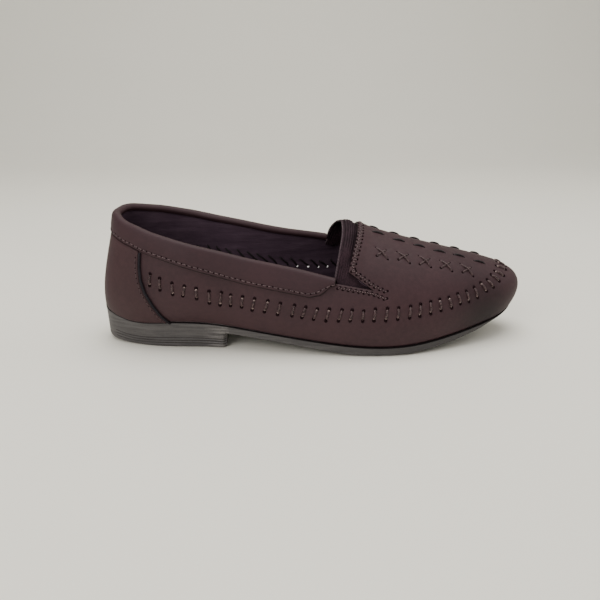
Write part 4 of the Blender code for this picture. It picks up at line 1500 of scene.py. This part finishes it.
def add_stitch(mesh, skin, start, end, radius, rise, sides=8, over=0.0, pale=None):
    """A stitch between two holes; over lifts its middle where it crosses another, pale marks parts with a
    painted glint.
    """
    line = start + (end - start) * STITCH_SHARES[:, None]
    lift = np.where(STITCH_RISE < 0, radius + DIVE, rise) * STITCH_RISE
    lift += over * np.exp(-((STITCH_SHARES - 0.5) / CROSSING) ** 2)
    add_tube(mesh, skin.lay(line, lift), radius, sides, pale)


def add_hole(mesh, skin, spot, radius, lift):
    """A dark plug of painted shade whose flat face lies in the dent."""
    place, normal = skin.near(spot)
    turn = Vector(normal).to_track_quat("Z", "Y").to_matrix().to_4x4()
    bmesh.ops.create_cone(
        mesh,
        cap_ends=True,
        segments=HOLE_SIDES,
        radius1=radius * HOLE_TAPER * MM,
        radius2=radius * MM,
        depth=HOLE_DEPTH * MM,
        matrix=Matrix.Translation(Vector(to_frame(place + normal * (lift - HOLE_DEPTH / 2)))) @ turn,
    )


def nudged(points, amount):
    """The points, each moved at random by up to an amount."""
    return points + np.array([[random.uniform(-amount, amount) for _ in range(3)] for _ in points])


print("points along one stitch:", len(STITCH_SHARES))

# %% [markdown]
# The whip row is sewn with a thick waxed cord, with painted glints where it enters its holes. Inside
# the shoe the same cord slants from the bottom of one stitch to the top of the next, which shows on the
# far wall; there it is coloured darker as painted shade, and a few lower holes glow with painted light.

# %% Whip row
WHIP_RADIUS = 0.68
WHIP_RISE = 0.4
WHIP_WANDER = 0.4    # random shift of each needle hole
WHIP_HOLE = 1.05
WHIP_HOLE_LIFT = 0.26
HOLE_PAST_TOP = 0.5  # the upper hole's middle past the end of the stitch
HOLE_PAST_LOW = 0.4
GLINT_LOW_SHARE = 0.8       # share of the stitches with a painted glint at the lower end
GLINT_TOP_SHARE = 0.4
RETURN_RISE = 0.45   # the cord inside the shoe
RETURN_RADIUS = 0.9  # as a share of the cord's radius outside
LOW_END = (0.84, 0.95)    # the part of a stitch's lower end with a painted glint, as shares of its length
TOP_END = (0.05, 0.16)
LIT_T = (0.720, 0.768)    # where the lower needle holes of the inner side get glowing plugs, painted light through them
LIT_RADIUS = 0.8
LIT_LIFT = 0.25 - WALL    # set into the lining


def glinting_ends():
    """Most stitches get a painted glint where they enter the lower hole, some at the upper one."""
    low = (STITCH_SHARES >= LOW_END[0]) & (STITCH_SHARES <= LOW_END[1])
    top = (STITCH_SHARES >= TOP_END[0]) & (STITCH_SHARES <= TOP_END[1])
    return (low & (random.random() < GLINT_LOW_SHARE)) | (top & (random.random() < GLINT_TOP_SHARE))


def make_whip_row():
    cords = bmesh.new()
    holes = bmesh.new()
    inside = bmesh.new()
    lit = bmesh.new()
    tops, lows = nudged(WHIP_TOP, WHIP_WANDER), nudged(WHIP_LOW, WHIP_WANDER)
    for t, top, low in zip(WHIP_T, tops, lows):
        way = (top - low) / np.linalg.norm(top - low)
        add_stitch(cords, UPPER_SKIN, top, low, WHIP_RADIUS, WHIP_RISE, pale=glinting_ends())
        add_hole(holes, UPPER_SKIN, top + HOLE_PAST_TOP * way, WHIP_HOLE, WHIP_HOLE_LIFT)
        add_hole(holes, UPPER_SKIN, low - HOLE_PAST_LOW * way, WHIP_HOLE, WHIP_HOLE_LIFT)
        # a glowing plug of painted light in the lining behind some lower holes
        if LIT_T[0] < t < LIT_T[1]:
            add_hole(lit, UPPER_SKIN, low, LIT_RADIUS, LIT_LIFT)
    for low, top in zip(lows[:-1], tops[1:]):
        line = low + (top - low) * STITCH_SHARES[:, None]
        laid = UPPER_SKIN.lay(line, -WALL - RETURN_RISE * STITCH_RISE)
        add_tube(inside, laid, WHIP_RADIUS * RETURN_RADIUS, 8)
    add_piece("whip_cord", cords, "upper_leather", CORD, CORD_GLINT)
    add_piece("whip_holes", holes, "upper_leather", NEEDLE_HOLE)
    # the cord inside the shoe is coloured darker as painted shade
    add_piece("whip_returns", inside, "upper_leather", SHADED_THREAD)
    add_piece("lit_holes", lit, "upper_leather", LIT_HOLE)


make_whip_row()

# %% [markdown]
# Crosses are two stitches of thinner thread, the second over the first. The dashes nearer the middle
# are the same thread pulled down into the leather, coloured darker as painted shade.

# %% Vamp stitches
CROSS_RADIUS = 0.5
CROSS_RISE = 0.3
CROSS_WANDER = 0.3
CROSS_OVER = 0.75    # extra lift of the second arm where it crosses the first
CROSS_HOLE = 0.85
CROSS_HOLE_LIFT = 0.16
UPPER_HOLE = 0.6     # the hole at an arm's upper end, as a share of the lower one
UPPER_HOLE_LIFT = 0.1
DASH_RADIUS = 0.58
DASH_RISE = 0.5
DASH_WANDER = 0.25
DASH_HOLE = 0.6
DASH_HOLE_LIFT = 0.08


def make_vamp_stitches():
    threads = bmesh.new()
    holes = bmesh.new()
    for k, (start, end) in enumerate(nudged(CROSS_ARMS.reshape(-1, 3), CROSS_WANDER).reshape(-1, 2, 3)):
        add_stitch(threads, UPPER_SKIN, start, end, CROSS_RADIUS, CROSS_RISE, over=CROSS_OVER * (k % 2))
        low, top = (start, end) if start[2] < end[2] else (end, start)
        add_hole(holes, UPPER_SKIN, low, CROSS_HOLE, CROSS_HOLE_LIFT)
        add_hole(holes, UPPER_SKIN, top, CROSS_HOLE * UPPER_HOLE, UPPER_HOLE_LIFT)
    add_piece("cross_thread", threads, "upper_leather", SOFT_THREAD)
    threads = bmesh.new()
    for start, end in nudged(DASHES.reshape(-1, 3), DASH_WANDER).reshape(-1, 2, 3):
        add_stitch(threads, UPPER_SKIN, start, end, DASH_RADIUS, DASH_RISE)
        add_hole(holes, UPPER_SKIN, start, DASH_HOLE, DASH_HOLE_LIFT)
        add_hole(holes, UPPER_SKIN, end, DASH_HOLE, DASH_HOLE_LIFT)
    add_piece("dash_thread", threads, "upper_leather", SHADED_THREAD)
    add_piece("vamp_holes", holes, "upper_leather", NEEDLE_HOLE)


make_vamp_stitches()

# %% [markdown]
# The machine seams are finer: the zigzags round the elastic, and straight lockstitch along the band
# and behind the piping.

# %% Machine seams
SEAM_RADIUS = 0.28
SEAM_SIDES = 6
SEAM_RISE = 0.18
SEAM_PITCH = 3.05
SEAM_HOLE = 0.66
SEAM_HOLE_LIFT = 0.12
COUNTER_SEAM_SPAN = (0.02, 0.93)   # shares of the counter's height
ZIGZAG_HOLE = 0.78
COUNTER_HOLE = 0.4
SEAM_INSET = 0.35    # a stitch comes up this far from the middle of its hole


def add_seam_stitch(mesh, skin, start, end):
    inset = SEAM_INSET * (end - start) / np.linalg.norm(end - start)
    add_stitch(mesh, skin, start + inset, end - inset, SEAM_RADIUS, SEAM_RISE, SEAM_SIDES)


def make_zigzags():
    threads = bmesh.new()
    holes = bmesh.new()
    for line in ZIGZAGS:
        for start, end in zip(line[:-1], line[1:]):
            add_seam_stitch(threads, UPPER_SKIN, start, end)
        for spot in line:
            add_hole(holes, UPPER_SKIN, spot, ZIGZAG_HOLE, SEAM_HOLE_LIFT)
    add_piece("zigzag_thread", threads, "upper_leather", THREAD)
    add_piece("zigzag_holes", holes, "upper_leather", NEEDLE_HOLE)


def make_lockstitch(name, line, skin, slot, hole, finish):
    threads = bmesh.new()
    holes = bmesh.new()
    spots = even(line, SEAM_PITCH)
    for start, end in zip(spots[:-1], spots[1:]):
        add_seam_stitch(threads, skin, start, end)
    for spot in spots:
        add_hole(holes, skin, spot, hole, SEAM_HOLE_LIFT)
    add_piece(name + "_thread", threads, slot, finish)
    add_piece(name + "_holes", holes, slot, NEEDLE_HOLE)


def counter_seam(outer):
    back = -(PIPING_RADIUS + PIPING_SEAM + COUNTER_SEAM)
    t, v = counter_edge(np.linspace(*COUNTER_SEAM_SPAN, 80), outer, back)
    return lifted(t, v, COUNTER_LIFT)


make_zigzags()
make_lockstitch("band_seam", BAND_SEAM, BAND_SKIN, "band_leather", SEAM_HOLE, THREAD)
for name, outer in (("counter_seam_outer", True), ("counter_seam_inner", False)):
    make_lockstitch(name, counter_seam(outer), COUNTER_SKIN, "counter_leather", COUNTER_HOLE, SOFT_THREAD)

# %% [markdown]
# The shoe stands on a pale seamless sheet, as in a small product studio: a floor that curves up
# behind it. The camera is set at the angle that the shoe is to be seen from, a little above it and
# facing its outer side.

# %% Floor and camera
FLOOR_REACH = 3.0
SWEEP_Y = 0.9
SWEEP_RADIUS = 0.5
CAMERA_PLACE = (0.0634, -0.3551, 0.1426)
CAMERA_RIGHT = Vector((0.9989, -0.0471, 0.0))
CAMERA_FORWARD = Vector((0.0445, 0.9442, -0.3263))
LENS = 36.0          # millimetres, on a sensor as wide


def paper():
    finish = Finish("studio_paper", {"Specular IOR Level": 0.3})
    cloud = finish.noise(6.0, 2.0)
    return finish.feed({
        "Base Color": finish.blend(cloud, (0.85, 0.83, 0.75, 1.0), (0.87, 0.85, 0.78, 1.0)),
        "Roughness": 0.55 + cloud * 0.1,
    })


def make_floor():
    mesh = bmesh.new()
    made = bmesh.ops.create_grid(mesh, x_segments=4, y_segments=40, size=FLOOR_REACH)["verts"]
    for vert in made:
        past = vert.co.y - SWEEP_Y
        if past <= 0:
            continue
        turn = min(past / SWEEP_RADIUS, math.pi / 2)
        vert.co.y = SWEEP_Y + SWEEP_RADIUS * math.sin(turn)
        vert.co.z = SWEEP_RADIUS * (1 - math.cos(turn)) + max(0.0, past - SWEEP_RADIUS * math.pi / 2)
    floor = new_object("studio_sweep", mesh, [paper()])


def make_camera():
    up = CAMERA_RIGHT.cross(CAMERA_FORWARD)
    turn = Matrix((CAMERA_RIGHT, up, -CAMERA_FORWARD)).transposed().to_4x4()
    data = bpy.data.cameras.new("view")
    data.sensor_width = LENS
    data.lens = LENS
    camera = bpy.data.objects.new("view", data)
    camera.matrix_world = Matrix.Translation(CAMERA_PLACE) @ turn
    bpy.context.scene.collection.objects.link(camera)
    bpy.context.scene.camera = camera
    print("camera at", tuple(round(value, 3) for value in camera.matrix_world.translation))


make_floor()
make_camera()

# %% [markdown]
# Soft light keeps buffed leather quiet: a wide lamp above, a weaker one from the front left, a small
# one that lifts the toe, and an even pale surround that fills the shadows.

# %% Light
SHOE_MIDDLE = (0.09, 0.0, 0.03)
TOE = (0.2, 0.0, 0.03)
SURROUND = (1.0, 0.98, 0.93, 1.0)
SURROUND_STRENGTH = 0.55


def lamp(name, place, aim, size, watts, colour):
    data = bpy.data.lights.new(name, "AREA")
    data.shape = "DISK"
    data.size = size
    data.energy = watts
    data.color = colour
    light = bpy.data.objects.new(name, data)
    light.location = place
    light.rotation_euler = (Vector(aim) - Vector(place)).to_track_quat("-Z", "Y").to_euler()
    bpy.context.scene.collection.objects.link(light)


lamp("overhead", (0.10, 0.10, 1.20), SHOE_MIDDLE, 1.0, 14.0, (1.0, 0.98, 0.94))
lamp("front_left", (-0.55, -0.85, 0.70), SHOE_MIDDLE, 0.8, 6.0, (1.0, 0.97, 0.95))
lamp("toe_side", (1.05, 0.15, 0.55), TOE, 0.5, 1.1, (1.0, 0.97, 0.95))
world = bpy.data.worlds.new("surround")
world.use_nodes = True
background = world.node_tree.nodes["Background"]
background.inputs["Color"].default_value = SURROUND
background.inputs["Strength"].default_value = SURROUND_STRENGTH
bpy.context.scene.world = world
print("three lamps and a surround")
